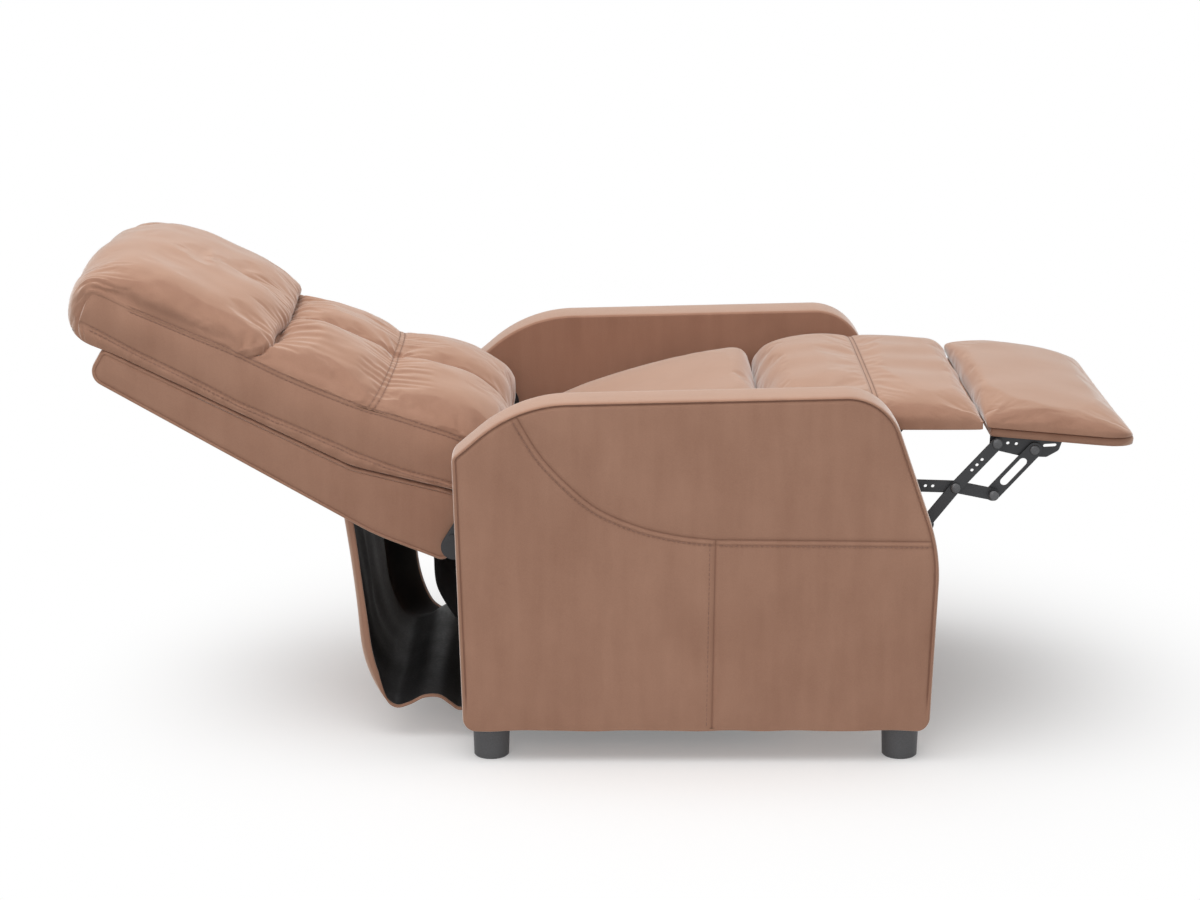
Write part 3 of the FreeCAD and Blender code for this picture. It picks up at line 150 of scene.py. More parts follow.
world = bpy.data.worlds.new("studio")
world.use_nodes = True
world.node_tree.nodes.clear()
scene.world = world
nodes = Finish(world.node_tree)
soft_light, backdrop = (nodes.add("Background", {"Color": WHITE, "Strength": strength})
                        for strength in (0.42, 1.0))
around = nodes.add("MixShader", {0: backdrop_rays(nodes), 1: soft_light, 2: backdrop})
nodes.add("OutputWorld", {"Surface": around})
LAMP_AIM = np.array((0.0, 0.0, 0.3))
for name, spot, size, power in (
        ("key", (-0.3, -0.6, 3.4), 3.4, 80.0), ("front", (-0.9, -4.6, 2.2), 2.0, 25.0)):
    lamp = bpy.data.lights.new(name, "AREA")
    lamp.energy = power
    lamp.size = size
    lamp_object = bpy.data.objects.new(name, lamp)
    lamp_object.location = spot
    way = LAMP_AIM - np.array(spot)
    lamp_object.rotation_euler = (math.atan2(math.hypot(way[0], way[1]), -way[2]), 0.0,
                                  math.atan2(way[1], way[0]) - math.pi / 2)
    scene.collection.objects.link(lamp_object)

# Arms: plywood frames padded and covered in velvet. Each outer side is sewn from three panels, with a
# wide band round the edge, and the seams are topstitched.
velvet, nodes = new_finish("velvet")
place = nodes.add("TexCoord", {}, "Object")
brushed = nodes.noise(place, 7.0, 4.0, Roughness=0.6)
drawn = nodes.add("Mapping", {"Vector": place, "Scale": (46.0, 46.0, 7.0)})
streaks = nodes.noise(drawn, 1.0, 3.0)
pile = nodes.noise(place, 520.0, 2.0)
# This attribute darkens the colour towards (0.105, 0.046, 0.031): along sewn seams, and as painted shade on
# the head roll's ends.
sewn = nodes.add("Attribute", {}, "Fac", attribute_name="seam_and_shade")
shade = brushed.ramp(0.3, 0.72) * 0.5 + streaks.ramp(0.3, 0.7) * 0.32 + pile.ramp(0.3, 0.7) * 0.18
colour = nodes.mix(shade, (0.337, 0.179, 0.121, 1.0), (0.438, 0.247, 0.171, 1.0))
# Painted sheen: the colour turns pale, towards (0.80, 0.50, 0.35), where a surface is seen edge-on.
painted_sheen = nodes.add("LayerWeight", {"Blend": 0.5}, "Facing").ramp(0.45, 0.95)
colour = nodes.mix(painted_sheen * 0.66, colour, (0.80, 0.50, 0.35, 1.0))
colour = nodes.mix(sewn, colour, (0.105, 0.046, 0.031, 1.0))
nodes.surface({
    "Base Color": colour, "Roughness": shade * -0.16 + 0.96, "Specular IOR Level": 0.18,
    "Normal": nodes.add("Bump", {"Strength": 0.22, "Distance": 0.0012, "Height": pile + brushed * 2.0}),
    "Sheen Weight": 0.95, "Sheen Roughness": 0.30, "Sheen Tint": (1.0, 0.97, 0.95, 1.0)})

thread, nodes = new_finish("velvet_thread")
twist = nodes.noise(nodes.add("TexCoord", {}, "Object"), 900.0, 1.0)
colour = nodes.mix(twist, (0.20, 0.10, 0.068, 1.0), (0.34, 0.19, 0.135, 1.0))
nodes.surface({"Base Color": colour, "Roughness": 0.6})


def clipped(value):
    """The value held between 0 and 1."""
    return np.clip(value, 0.0, 1.0)


def bell(value, width):
    """Bell curve: e to the power of minus the square of value / width."""
    return np.exp(-(value / width) ** 2)


def even(count):
    """Shares from 0 to 1 at even steps."""
    return np.linspace(0.0, 1.0, count)


def unit(ways):
    """Vectors brought to length 1."""
    return ways / np.linalg.norm(ways, axis=-1, keepdims=True)


def grid_of(x, y, z):
    """Points from their coordinates, each spread over the whole grid."""
    return np.stack(np.broadcast_arrays(x, y, z), axis=-1)


def length_to(line):
    """Length along a line from its start to each of its points."""
    return np.r_[0.0, np.cumsum(np.linalg.norm(np.diff(line, axis=0), axis=1))]


def spaced(line, count):
    """Points at even steps of length along a line."""
    reach = length_to(line)
    steps = np.linspace(0.0, reach[-1], count)
    return np.stack([np.interp(steps, reach, part) for part in line.T], axis=1)


def smooth_line(knots, count):
    """Line through the knots: each stretch is the cubic whose slope at a knot is half the way from the knot
    before it to the knot after it. Evenly spaced points along it."""
    knots = np.asarray(knots, float)
    slope = np.gradient(knots, axis=0)
    slope[[0, -1]] /= 2
    t = np.linspace(0.0, 1.0, 48, endpoint=False)[None, :, None]
    start, end = knots[:-1, None], knots[1:, None]
    line = ((2 * t**3 - 3 * t**2 + 1) * start + (t**3 - 2 * t**2 + t) * slope[:-1, None]
            + (3 * t**2 - 2 * t**3) * end + (t**3 - t**2) * slope[1:, None])
    return spaced(np.vstack([line.reshape(-1, knots.shape[1]), knots[-1:]]), count)


def rounded(corners, count):
    """Closed outline of straight sides joined by arcs; a corner is (x, z, radius). Evenly spaced points,
    without the last one, and the normals into the outline."""
    spots = np.array([corner[:2] for corner in corners])
    arcs = []
    for spot, last, following, corner in zip(spots, np.roll(spots, 1, 0), np.roll(spots, -1, 0), corners):
        back, on, radius = unit(last - spot), unit(following - spot), corner[2]
        half = math.acos(np.clip(back @ on, -1.0, 1.0)) / 2
        centre = spot + unit(back + on) * radius / math.sin(half)
        first = spot + back * radius / math.tan(half) - centre
        final = spot + on * radius / math.tan(half) - centre
        turn = math.atan2(first[0] * final[1] - first[1] * final[0], first @ final)
        angles = math.atan2(first[1], first[0]) + turn * even(40)
        arcs.append(centre + radius * np.stack([np.cos(angles), np.sin(angles)], axis=1))
    line = spaced(np.vstack(arcs + [arcs[0][:1]]), count + 1)[:-1]
    way = unit(np.roll(line, -1, 0) - np.roll(line, 1, 0))
    return line, np.stack([-way[:, 1], way[:, 0]], axis=1)


def crowded(count):
    """Shares from 0 to 1 that lie closer together at both ends, by a cosine."""
    return 0.32 * even(count) + 0.68 * (1 - np.cos(math.pi * even(count))) / 2


def coons(bottom, top, left, right, shares=even):
    """Sheet between four border lines: the two straight blends of opposite borders, less the blend of
    the corners. Left and right run from bottom to top."""
    u = even(len(bottom))[None, :, None]
    v = shares(len(left))[:, None, None]
    ruled = (1 - v) * bottom[None] + v * top[None] + (1 - u) * left[:, None] + u * right[:, None]
    below = (1 - u) * (1 - v) * bottom[0] + u * (1 - v) * bottom[-1]
    above = (1 - u) * v * top[0] + u * v * top[-1]
    return ruled - (below + above)


def nearest(spots, line):
    """Distance from each spot to the nearest point of a line, and that point's number."""
    flat = spots.reshape(-1, spots.shape[-1])
    found = np.concatenate([np.argmin(((part[:, None] - line[None]) ** 2).sum(-1), axis=1)
                            for part in np.array_split(flat, 1 + len(flat) // 4000)])
    gap = np.linalg.norm(flat - line[found], axis=1)
    return gap.reshape(spots.shape[:-1]), found.reshape(spots.shape[:-1])


def waves(spots, length, seed):
    """Soft random relief between -1 and 1: twelve sine waves in random directions, of about one length."""
    draw = np.random.default_rng(seed)
    ways = draw.normal(size=(12, spots.shape[-1]))
    ways /= np.linalg.norm(ways, axis=1, keepdims=True) * length * draw.uniform(0.7, 1.5, (12, 1))
    return np.sin(math.tau * (spots @ ways.T) + draw.uniform(0, math.tau, 12)).sum(-1) / 5.0


def lay_mesh(name, grids, *finishes, merge=0.00025, faces_out=True):
    """A mesh object from grids of points: four neighbours make a face, and borders that meet are joined.
    A grid is (points, darkness): a share that darkens the colour, for a sewn line and for painted shade."""
    points, seams_and_shade, faces, start = [], [], [], 0
    for spots, seam_and_shade in grids:
        rows, columns = spots.shape[:2]
        number = start + np.arange(rows * columns).reshape(rows, columns)
        corners = (number[:-1, :-1], number[:-1, 1:], number[1:, 1:], number[1:, :-1])
        faces.append(np.stack(corners, -1).reshape(-1, 4))
        points.append(spots.reshape(-1, 3))
        seams_and_shade.append(np.broadcast_to(seam_and_shade, (rows, columns)).reshape(-1))
        start += rows * columns
    mesh = bpy.data.meshes.new(name)
    mesh.from_pydata(np.vstack(points).tolist(), [], np.vstack(faces).tolist())
    sewn = mesh.attributes.new("seam_and_shade", "FLOAT", "POINT")
    sewn.data.foreach_set("value", np.concatenate(seams_and_shade).astype(np.float32))
    shape = bmesh.new()
    shape.from_mesh(mesh)
    if merge:
        bmesh.ops.remove_doubles(shape, verts=shape.verts, dist=merge)
    if faces_out:
        bmesh.ops.recalc_face_normals(shape, faces=shape.faces)
    shape.to_mesh(mesh)
    shape.free()
    mesh.polygons.foreach_set("use_smooth", np.ones(len(mesh.polygons), dtype=bool))
    for finish in finishes:
        mesh.materials.append(finish)
    piece = bpy.data.objects.new(name, mesh)
    scene.collection.objects.link(piece)
    return piece


STITCH = 0.0052
STITCH_GAP = 0.0018
THREAD_RADIUS = 0.0006


def stitches(name, lines):
    """Topstitching along lines of points: each stitch is a six-sided spindle, its length along the line and
    its radius swelling from the ends to the middle."""
    along = np.array([-0.5, -0.42, 0.0, 0.42, 0.5])[:, None, None] * STITCH
    swell = np.array([0.25, 0.8, 1.0, 0.8, 0.25])[:, None, None] * THREAD_RADIUS
    angles = np.linspace(0.0, math.tau, 7)[:, None]
    grids = []
    for line in lines:
        count = max(2, int(length_to(line)[-1] / (STITCH + STITCH_GAP)))
        spots = spaced(line, 2 * count + 1)[1::2]
        ways = unit(np.gradient(spots, axis=0))
        aside = np.where(np.abs(ways[:, 1:2]) < 0.8, [[0.0, 1.0, 0.0]], [[0.0, 0.0, 1.0]])
        side = unit(np.cross(ways, aside))
        up = np.cross(ways, side)
        ring = side[:, None, None] * np.cos(angles) + up[:, None, None] * np.sin(angles)
        cloud = spots[:, None, None] + ways[:, None, None] * along + ring * swell
        grids += [(stitch, 0.0) for stitch in cloud]
    return lay_mesh(name, grids, thread, merge=0.00002)


ARM_OUT, ARM_IN = 0.350, 0.275
ARM_REAR = -0.2021           # the arm's rear end in the measured tables
shift_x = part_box("arm_cover_right")[0][0] - ARM_REAR
arm_corners = [(-0.191, 0.0447, 0.018), (0.462, 0.0447, 0.020), (0.4715, 0.303, 0.250), (0.394, 0.526, 0.080),
               (-0.113, 0.5145, 0.200), (-0.203, 0.438, 0.012)]
arm_corners = [(x + shift_x, z, radius) for x, z, radius in arm_corners]
arm_line, arm_inward = rounded(arm_corners, 2600)
arm_inward *= 0.80 - 0.38 * clipped(-arm_inward[:, 1:])    # the seam lies nearer to the edge at the top
hem = clipped((0.06 - arm_line[:, 1]) / 0.015)
arm_line[:, 1] += 0.0013 * hem * waves(arm_line[:, :1], 0.11, 3)
SEAM_INSET, SEAM_DEPTH = 0.0072, 0.0022
arm_inset = arm_line + arm_inward * SEAM_INSET


def stretch(line, start, end, count, shares=crowded):
    """Places along a closed line between the points nearest to start and end, as point numbers."""
    first, last = nearest(np.array([start, end]), line)[1]
    return first + (last + (len(line) if last < first else 0) - first) * shares(count)


def on_outline(line, places):
    """Points of a closed line at fractional point numbers."""
    numbers = np.arange(2 * len(line) + 1)
    return np.stack([np.interp(places, numbers, np.r_[part, part, part[:1]]) for part in line.T], axis=1)


def whole_round(stretches, *lines):
    """Points of closed lines at the places of all stretches in turn, each place once."""
    places = np.concatenate(list(stretches))
    keep = np.r_[True, np.abs(np.diff(places % len(lines[0]))) > 1e-6]
    return [on_outline(line, places[keep]) for line in lines]


CURVE_STEPS, FRONT_STEPS, UPPER_STEPS, LOWER_STEPS = 96, 86, 60, 92
arm_points = np.array([(-0.189, 0.047), (0.157, 0.045), (0.459, 0.047), (0.463, 0.322), (0.377, 0.516),
                       (-0.113, 0.496)]) + (shift_x, 0.0)
arm_steps = {"hem_rear": CURVE_STEPS, "hem_front": FRONT_STEPS, "front": LOWER_STEPS, "nose": UPPER_STEPS,
             "top": CURVE_STEPS + FRONT_STEPS - 1, "rear": LOWER_STEPS}
rounds = {name: stretch(arm_line, start, end, count, even if name == "top" else crowded)
          for (name, count), start, end in zip(arm_steps.items(), arm_points, np.roll(arm_points, -1, 0))}
inset = {name: on_outline(arm_inset, places) for name, places in rounds.items()}
curve_knots = np.array([(-0.082, 0.444), (-0.041, 0.399), (0.0, 0.366), (0.055, 0.342), (0.110, 0.329),
                        (0.160, 0.3235)]) + (shift_x, 0.0)
curve = smooth_line(np.vstack([inset["rear"][:1], curve_knots]), 2000)
curve = curve[np.round(crowded(CURVE_STEPS) * (len(curve) - 1)).astype(int)]
level = curve[-1] + (inset["front"][-1] - curve[-1]) * crowded(FRONT_STEPS)[:, None]
upright = inset["hem_rear"][-1] + (curve[-1] - inset["hem_rear"][-1]) * crowded(LOWER_STEPS)[:, None]
rear_point = np.repeat(inset["rear"][:1], UPPER_STEPS, 0)
arm_panels = [
    coons(np.vstack([curve, level[1:]]), inset["top"][::-1], rear_point, inset["nose"], crowded),
    coons(inset["hem_rear"], curve, inset["rear"][::-1], upright, crowded),
    coons(inset["hem_front"], level, upright, inset["front"], crowded),
]
seam_lines = np.vstack([curve, level, upright])
round_line = np.vstack(list(inset.values()))
TOPSTITCH = 0.0078           # from a seam to its topstitching
ROUND_DARK, SEAM_DARK, STITCH_DARK = 0.45, 0.48, 0.22


def above_hem(line):
    """0 at the hem, where the round seam is turned under, and 1 higher up."""
    return clipped((line[:, 1] - 0.07) / 0.03)


def panel_relief(panel, stitched):
    """Height of a sewn panel over the arm's side: it dips into its seams, dips a little along the
    topstitching and swells between them."""
    round_gap, found = nearest(panel, round_line)
    seam_gap = nearest(panel, seam_lines)[0]
    near = np.minimum(round_gap, seam_gap)
    dip = above_hem(round_line)[found] * bell(round_gap, 0.0032)
    stitch_dip = bell(np.abs(nearest(panel, stitched)[0] - TOPSTITCH), 0.0016)
    swell = 0.0032 * (1 - np.exp(-near / 0.035)) + 0.0009 * waves(panel, 0.16, 5) * (1 - np.exp(-near / 0.03))
    relief = swell - SEAM_DEPTH * np.maximum(dip, 0.75 * bell(seam_gap, 0.0028)) - 0.0007 * stitch_dip
    seam_and_shade = np.maximum(ROUND_DARK * dip * (round_gap < 0.0025), SEAM_DARK * bell(seam_gap, 0.0012))
    return relief, np.maximum(seam_and_shade, STITCH_DARK * stitch_dip)


band_line, band_inward = whole_round(rounds.values(), arm_line, arm_inward)
band_depth = above_hem(band_line) * SEAM_DEPTH
# Rows of the band: inset from the outline and depth from the outer face. It starts in the seam, rises as a
# welt and goes over the rounded edge to the inner face.
band_rows = [(SEAM_INSET, band_depth), (0.0064, 0.35 * band_depth), (0.0054, -0.16 * band_depth),
             (0.0042, -0.12 * band_depth), (0.0029, 0.20 * band_depth + 0.0006), (0.0017, 0.0024),
             (0.0006, 0.0050)]
band_rows += [(-0.0012 * math.sin(math.pi * share), 0.0075 + share * (ARM_OUT - ARM_IN - 0.015))
              for share in even(13)[1:-1]]
band_rows += [(0.0006, 0.0700), (0.0017, 0.0726), (0.0050, 0.0746), (SEAM_INSET, ARM_OUT - ARM_IN)]
arm_topstitch = np.vstack([curve, level])
nowhere = np.full((1, 2), 9.0)    # the upper panel has no topstitching
for side, label in ((-1.0, "right"), (1.0, "left")):
    def outside(spots, depth):
        """Points of the arm's side plane, moved in from the outer face by a depth."""
        return grid_of(spots[..., 0], side * (ARM_OUT - depth), spots[..., 1])

    grids = []
    for number, panel in enumerate(arm_panels):
        relief, seam_and_shade = panel_relief(panel, nowhere if number == 0 else arm_topstitch)
        grids += [(outside(panel, -relief), seam_and_shade), (outside(panel, ARM_OUT - ARM_IN), 0.0)]
    wrap = np.stack([outside(band_line + band_inward * edge_inset, depth) for edge_inset, depth in band_rows])
    seam_and_shade = np.zeros(wrap.shape[:2])
    seam_and_shade[0] = ROUND_DARK * band_depth / SEAM_DEPTH
    grids.append((wrap, seam_and_shade))
    arm = lay_mesh("arm_upholstery_" + label, grids, velvet)
    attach(arm, "base")
    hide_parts("arm_cover_" + label)
    lines = []
    for line in (curve, level):
        way = unit(np.gradient(line, axis=0))
        below = line + TOPSTITCH * np.stack([way[:, 1], -way[:, 0]], axis=1)
        lines.append(outside(below, -0.0012)[3:-3])
    lines.append(outside(upright - (TOPSTITCH, 0.0), -0.0006)[3:-3])
    arm_stitches = stitches("arm_stitches_" + label, lines)
    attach(arm_stitches, "base")

# Feet, rails and mechanism: moulded plastic feet, plywood rails, black powder-coated steel plates, links and
# pins, zinc-plated bolts and screws (the back brackets' are black), and zigzag springs. These keep the
# construction's own solids.


def hard_finish(name, dark, light, scale, rough, bump_share, metallic=0.0):
    """Plain finish: two tones mixed by noise, with roughness between two values and a fine bump."""
    material, nodes = new_finish(name)
    place = nodes.add("TexCoord", {}, "Object")
    grain = nodes.noise(place, scale, 4.0)
    tone = grain.ramp(0.3, 0.7) * 0.6 + nodes.noise(place, 14.0, 3.0).ramp(0.35, 0.7) * 0.4
    bump = nodes.add("Bump", {"Strength": bump_share, "Distance": 0.0006, "Height": grain})
    nodes.surface({"Base Color": nodes.mix(tone, dark + (1.0,), light + (1.0,)), "Metallic": metallic,
                   "Roughness": tone * (rough[1] - rough[0]) + rough[0], "Normal": bump})
    return material


hard = {name: hard_finish(name, *row) for name, *row in (
    ("foot_plastic", (0.067, 0.067, 0.071), (0.114, 0.115, 0.120), 700.0, (0.42, 0.6), 0.25),
    ("coated_steel", (0.030, 0.031, 0.034), (0.062, 0.063, 0.067), 900.0, (0.34, 0.5), 0.18, 0.35),
    ("plated_steel", (0.42, 0.42, 0.43), (0.62, 0.62, 0.61), 300.0, (0.25, 0.42), 0.08, 1.0),
    ("spring_wire", (0.10, 0.10, 0.11), (0.22, 0.22, 0.23), 400.0, (0.3, 0.45), 0.08, 1.0),
    ("rivet_steel", (0.085, 0.086, 0.090), (0.150, 0.150, 0.155), 500.0, (0.3, 0.45), 0.1, 0.5),
    ("black_webbing", (0.008, 0.008, 0.009), (0.022, 0.022, 0.024), 620.0, (0.75, 0.95), 0.5),
    ("lining_cloth", (0.009, 0.009, 0.010), (0.021, 0.020, 0.021), 260.0, (0.52, 0.78), 0.3))}

plywood, nodes = new_finish("plywood")
place = nodes.add("TexCoord", {}, "Object")
drawn = nodes.add("Mapping", {"Vector": place, "Scale": (9.0, 1.2, 9.0)})
figure = nodes.noise(drawn, 6.0, 6.0, Distortion=1.2)
plies = nodes.add("TexWave", {"Vector": place, "Scale": 110.0, "Distortion": 0.4}, "Fac", bands_direction="Z")
tone = figure.ramp(0.3, 0.7) * 0.75 + plies * 0.25
bump = nodes.add("Bump", {"Strength": 0.2, "Distance": 0.0008, "Height": figure})
nodes.surface({"Base Color": nodes.mix(tone, (0.36, 0.22, 0.11, 1.0), (0.60, 0.42, 0.24, 1.0)),
               "Roughness": tone * -0.16 + 0.82, "Normal": bump})

# A word in a node's name gives its finish, and the other hard pieces are of black steel.
worded = {"foot_front": "foot_plastic", "foot_rear": "foot_plastic", "flap_board": "velvet",
          "_rail": "plywood", "_frame_": "plywood", "_post_": "plywood", "_bolts": "plated_steel",
          "plate_screws": "plated_steel", "footrest_screws": "plated_steel", "springs": "spring_wire",
          "webbing": "black_webbing"}
hard.update(plywood=plywood, velvet=velvet)
for name, node in frame["nodes"].items():
    finish = [worded[word] for word in worded if word in name] + ["coated_steel"]
    for holder in node.material_slots:
        holder.material = hard[finish[0]]

joints = {joint["name"]: joint["pos_m"] for joint in frame["joints"]}
RIVET_RADIUS, RIVET_RISE = 0.0072, 0.0024


def rivet_heads(name, body, node, *pivots):
    """Domed heads on both outer faces of a link's node, at each pivot: a flat base, then a quarter of an
    ellipse turned about the pivot."""
    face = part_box(node)[1][1]
    angle = np.linspace(0.0, math.pi / 2, 7)
    radius = RIVET_RADIUS * np.r_[0.0, np.cos(angle)][:, None]
    rise = RIVET_RISE * np.r_[0.0, np.sin(angle)][:, None]
    turn = np.linspace(0.0, math.tau, 25)[None]
    heads = []
    for pivot in pivots:
        x, z = pivot[0] + radius * np.cos(turn), pivot[2] + radius * np.sin(turn)
        heads += [(grid_of(x, side * (face + rise), z), 0.0) for side in (-1.0, 1.0)]
    rivets = lay_mesh(name, heads, hard["rivet_steel"], merge=0.00005)
    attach(rivets, body)


cross_pivot, low_pivot, turn_pivot = (np.array(joints[name]) for name in (
    "long_link_swing", "slotted_link_swing", "footrest_turn"))
rivet_heads("main_link_rivets", "main_link", "main_links", cross_pivot, low_pivot)
rivet_heads("long_link_rivets", "long_link", "long_links", turn_pivot)
rivet_heads("slotted_link_rivets", "slotted_link", "slotted_links", turn_pivot + low_pivot - cross_pivot)

# Seat cushion: foam in a velvet cover on the zigzag springs, held down at its edges by the seat rails.
# It is filled as cloth, and rolls down at the front against the raised pad.


def stand(plane, across, origin, slope, way=1.0):
    """Places a pad's points: run along a line that rises by the slope from its origin, rise square to it;
    way -1 runs to the chair's rear."""
    run, rise = plane[..., 0], plane[..., 1]
    cos, sin = math.cos(math.radians(slope)), math.sin(math.radians(slope))
    return grid_of(origin[0] + way * (run * cos - rise * sin), across, origin[1] + run * sin + rise * cos)


def pad_sheet(table, rows, columns, boxy, origin=(0.0, 0.0), slope=0.0):
    """A closed pad: its top as run and rise, the places across, and its top and bottom in the chair. A table
    row is the crown's run and rise, the base's run and rise, and half the width. Across the pad, t from -1
    to 1, a point is base + (crown - base) (1 - |t|^n)^(1/n), n the boxiness."""
    line = smooth_line(table, rows)
    crown, base, half = line[:, None, :2], line[:, None, 2:4], line[:, None, 4]
    t = np.sin(np.linspace(-math.pi / 2, math.pi / 2, columns))[None]
    plane = base + (crown - base) * ((1 - np.abs(t) ** boxy).clip(0.0) ** (1 / boxy))[..., None]
    across = half * t
    top, bottom = (stand(part, across, origin, slope) for part in (plane, np.repeat(base, columns, 1)))
    return plane, across, top, bottom


def across_both(sheet):
    """Vectors square to both directions of a grid of points."""
    return np.cross(np.gradient(sheet, axis=1), np.gradient(sheet, axis=0))


def outward(sheet):
    """Normals of a grid of points, on the side that faces up on the whole."""
    normals = across_both(sheet)
    normals /= np.maximum(np.linalg.norm(normals, axis=-1, keepdims=True), 1e-12)
    return normals * np.sign(normals[..., 2].sum())


def dented(sheet, depth, length, seed, where):
    """A sheet with soft dents of a depth, about one length wide, where the mask is true."""
    return sheet + outward(sheet) * (depth * waves(sheet[..., :2], length, seed) * where)[..., None]


FILL_STEPS = 16


def fill_cloth(sheet, held, pressure, most, slack):
    """Blows a sewn sheet up from below as cloth: its edges and held points stay, the cloth is cut larger by
    the slack, and no point moves further than most."""
    held = np.broadcast_to(held, sheet.shape[:2]).copy()
    held[:, [0, -1]] = held[[0, -1]] = True
    cover = lay_mesh("filling", [(sheet, 0.0)], merge=0.0, faces_out=False)
    group = cover.vertex_groups.new(name="held")
    group.add(np.nonzero(held.ravel())[0].tolist(), 1.0, "REPLACE")
    cloth = cover.modifiers.new("fill", "CLOTH")
    facing = across_both(sheet)[..., 2].sum()
    for name, value in {
            "quality": 3, "mass": 0.25, "tension_stiffness": 15.0, "compression_stiffness": 15.0,
            "shear_stiffness": 6.0, "bending_stiffness": 0.3, "vertex_group_mass": group.name,
            "use_pressure": True, "uniform_pressure_force": pressure * np.sign(facing),
            "shrink_min": -slack, "shrink_max": -slack}.items():
        setattr(cloth.settings, name, value)
    cloth.settings.effector_weights.gravity = 0.0
    cloth.collision_settings.use_collision = False
    for step in range(1, FILL_STEPS + 1):
        scene.frame_set(step)
    filled = cover.evaluated_get(bpy.context.evaluated_depsgraph_get())
    end = np.empty(sheet.size, dtype=np.float32)
    filled.data.vertices.foreach_get("co", end)
    move = end.reshape(sheet.shape) - sheet
    reach = np.linalg.norm(move, axis=-1, keepdims=True)
    scene.frame_set(1)
    bpy.data.meshes.remove(cover.data)
    return sheet + move * np.minimum(1.0, most / np.maximum(reach, 1e-9))


def fine(piece):
    """One subdivision, the same in the render."""
    smooth = piece.modifiers.new("fine", "SUBSURF")
    smooth.levels = smooth.render_levels = 1


MM = 0.001
PAD_COLUMNS = 101
seat_table = np.array([
    (-17, 1, -17, 1, 254), (-20, 14, -17, 1, 256), (-13, 30, -14, 0.5, 260), (12, 55, 2, 0.5, 265),
    (60, 67, 50, 0.5, 267), (150, 75, 150, 0.5, 268), (240, 79, 245, 0.5, 268), (304, 80, 310, 0.5, 268),
    (334, 76, 330, 0.5, 267), (348, 64, 338, 0.5, 266), (350, 42, 341, 0.6, 265), (345, 15, 342, 0.8, 264),
    (341, 1, 341, 1, 264)]) * MM
SEAT_ORIGIN, SEAT_SLOPE = (-0.095 + shift_x, 0.330), 13.6
across, seat_top, seat_base = pad_sheet(seat_table, 92, PAD_COLUMNS, 5.0, SEAT_ORIGIN, SEAT_SLOPE)[1:]
seat_top = dented(seat_top, 0.0016, 0.22, 11, np.abs(across) < 0.25)
seat_top = fill_cloth(seat_top, False, pressure=1.2, most=0.006, slack=0.006)
seat = lay_mesh("seat_cushion_cover", [(seat_top, 0.0), (seat_base, 0.0)], velvet)
fine(seat)
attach(seat, "seat")
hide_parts("seat_cushion")

# Raised pad at the seat's front edge and the flap between seat and footrest: one padded cover over the seat's
# front rail and the flap board, stitched across at the hinge, where it bends.
HINGE_AHEAD, HINGE_ROW = 0.003, 0.0037    # the sewn line ahead of the pivot, and its stitches on each side
flap_pivot = joints["flap_fold"]
front_table = np.array([
    (239, 412, 239, 412, 262), (237, 436, 239, 412, 263), (237, 458, 240, 412, 265),
    (243, 474, 246, 413, 267), (259, 489, 260, 416, 268), (292, 498, 295, 424.5, 268),
    (338, 502.5, 340, 435.5, 268), (376, 501, 374, 444, 267.5), (388, 497, 387, 453, 267),
    (401, 498, 398, 459, 266.5), (424, 497, 424, 459.2, 266), (478, 494, 478, 459.2, 266),
    (512, 491, 512, 459.2, 265.5), (529, 482, 528, 459.2, 264.5), (536, 470, 533, 459.2, 263),
    (533, 459.2, 533, 459.2, 262)]) * MM
front_table[:, [0, 2]] += shift_x
plane, across, front_top, front_base = pad_sheet(front_table, 112, PAD_COLUMNS, 5.0)
from_hinge = plane[..., 0] - flap_pivot[0] - HINGE_AHEAD
hinge_gap = np.abs(from_hinge)
front_top = dented(front_top, 0.0014, 0.12, 12, (np.abs(across) < 0.25) & (hinge_gap > 0.01))
front_top = fill_cloth(front_top, hinge_gap < 0.0055, pressure=1.6, most=0.005, slack=0.004)
front_seam = 0.3 * bell(hinge_gap - HINGE_ROW, 0.0012)
front_pad = lay_mesh("seat_front_cover", [(front_top, front_seam), (front_base, 0.0)], velvet)
fine(front_pad)
lines = []
for offset in (-HINGE_ROW, HINGE_ROW):
    row = np.argmin(np.abs(from_hinge[:, PAD_COLUMNS // 2] - offset))
    lines.append(front_top[row, 4:-4] + (0.0, 0.0, 0.0004))
front_stitches = stitches("seat_front_stitches", lines)
for piece in (front_pad, front_stitches):
    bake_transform(piece)
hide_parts("seat_front_pad", "flap_pad")

# Footrest: a plywood board wrapped in velvet, with a padded cushion glued on top and drawn in at the rear
# edge beside the flap. The front corners are rounded.
FOOT_ORIGIN, FOOT_SLOPE = (0.545 + shift_x, 0.4499), -5.0
foot_table = np.array([
    (-5, 12.4, -5, 12.4, 261), (-9.5, 23, -5, 12.4, 263), (-7.5, 33, -4, 12.4, 265), (4, 38.5, 2, 12.4, 266),
    (22, 41, 22, 12.4, 266), (80, 41.5, 80, 12.4, 266), (140, 38, 140, 12.4, 266),
    (166, 34.5, 166, 12.4, 265.5), (186, 29, 186, 12.4, 258), (198, 23, 198, 12.4, 246),
    (204, 17, 203, 12.4, 236), (205, 12.4, 205, 12.4, 230)]) * MM
plane, across, foot_top, foot_base = pad_sheet(foot_table, 70, PAD_COLUMNS, 4.0, FOOT_ORIGIN, FOOT_SLOPE)
foot_top = dented(foot_top, 0.0012, 0.13, 21, (np.abs(across) < 0.24) & (plane[..., 0] < 0.19))
foot_top = fill_cloth(foot_top, False, pressure=1.6, most=0.005, slack=0.004)
foot_pad = lay_mesh("footrest_cover", [(foot_top, 0.0), (foot_base, 0.0)], velvet)
fine(foot_pad)
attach(foot_pad, "footrest")
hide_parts("footrest_pad")
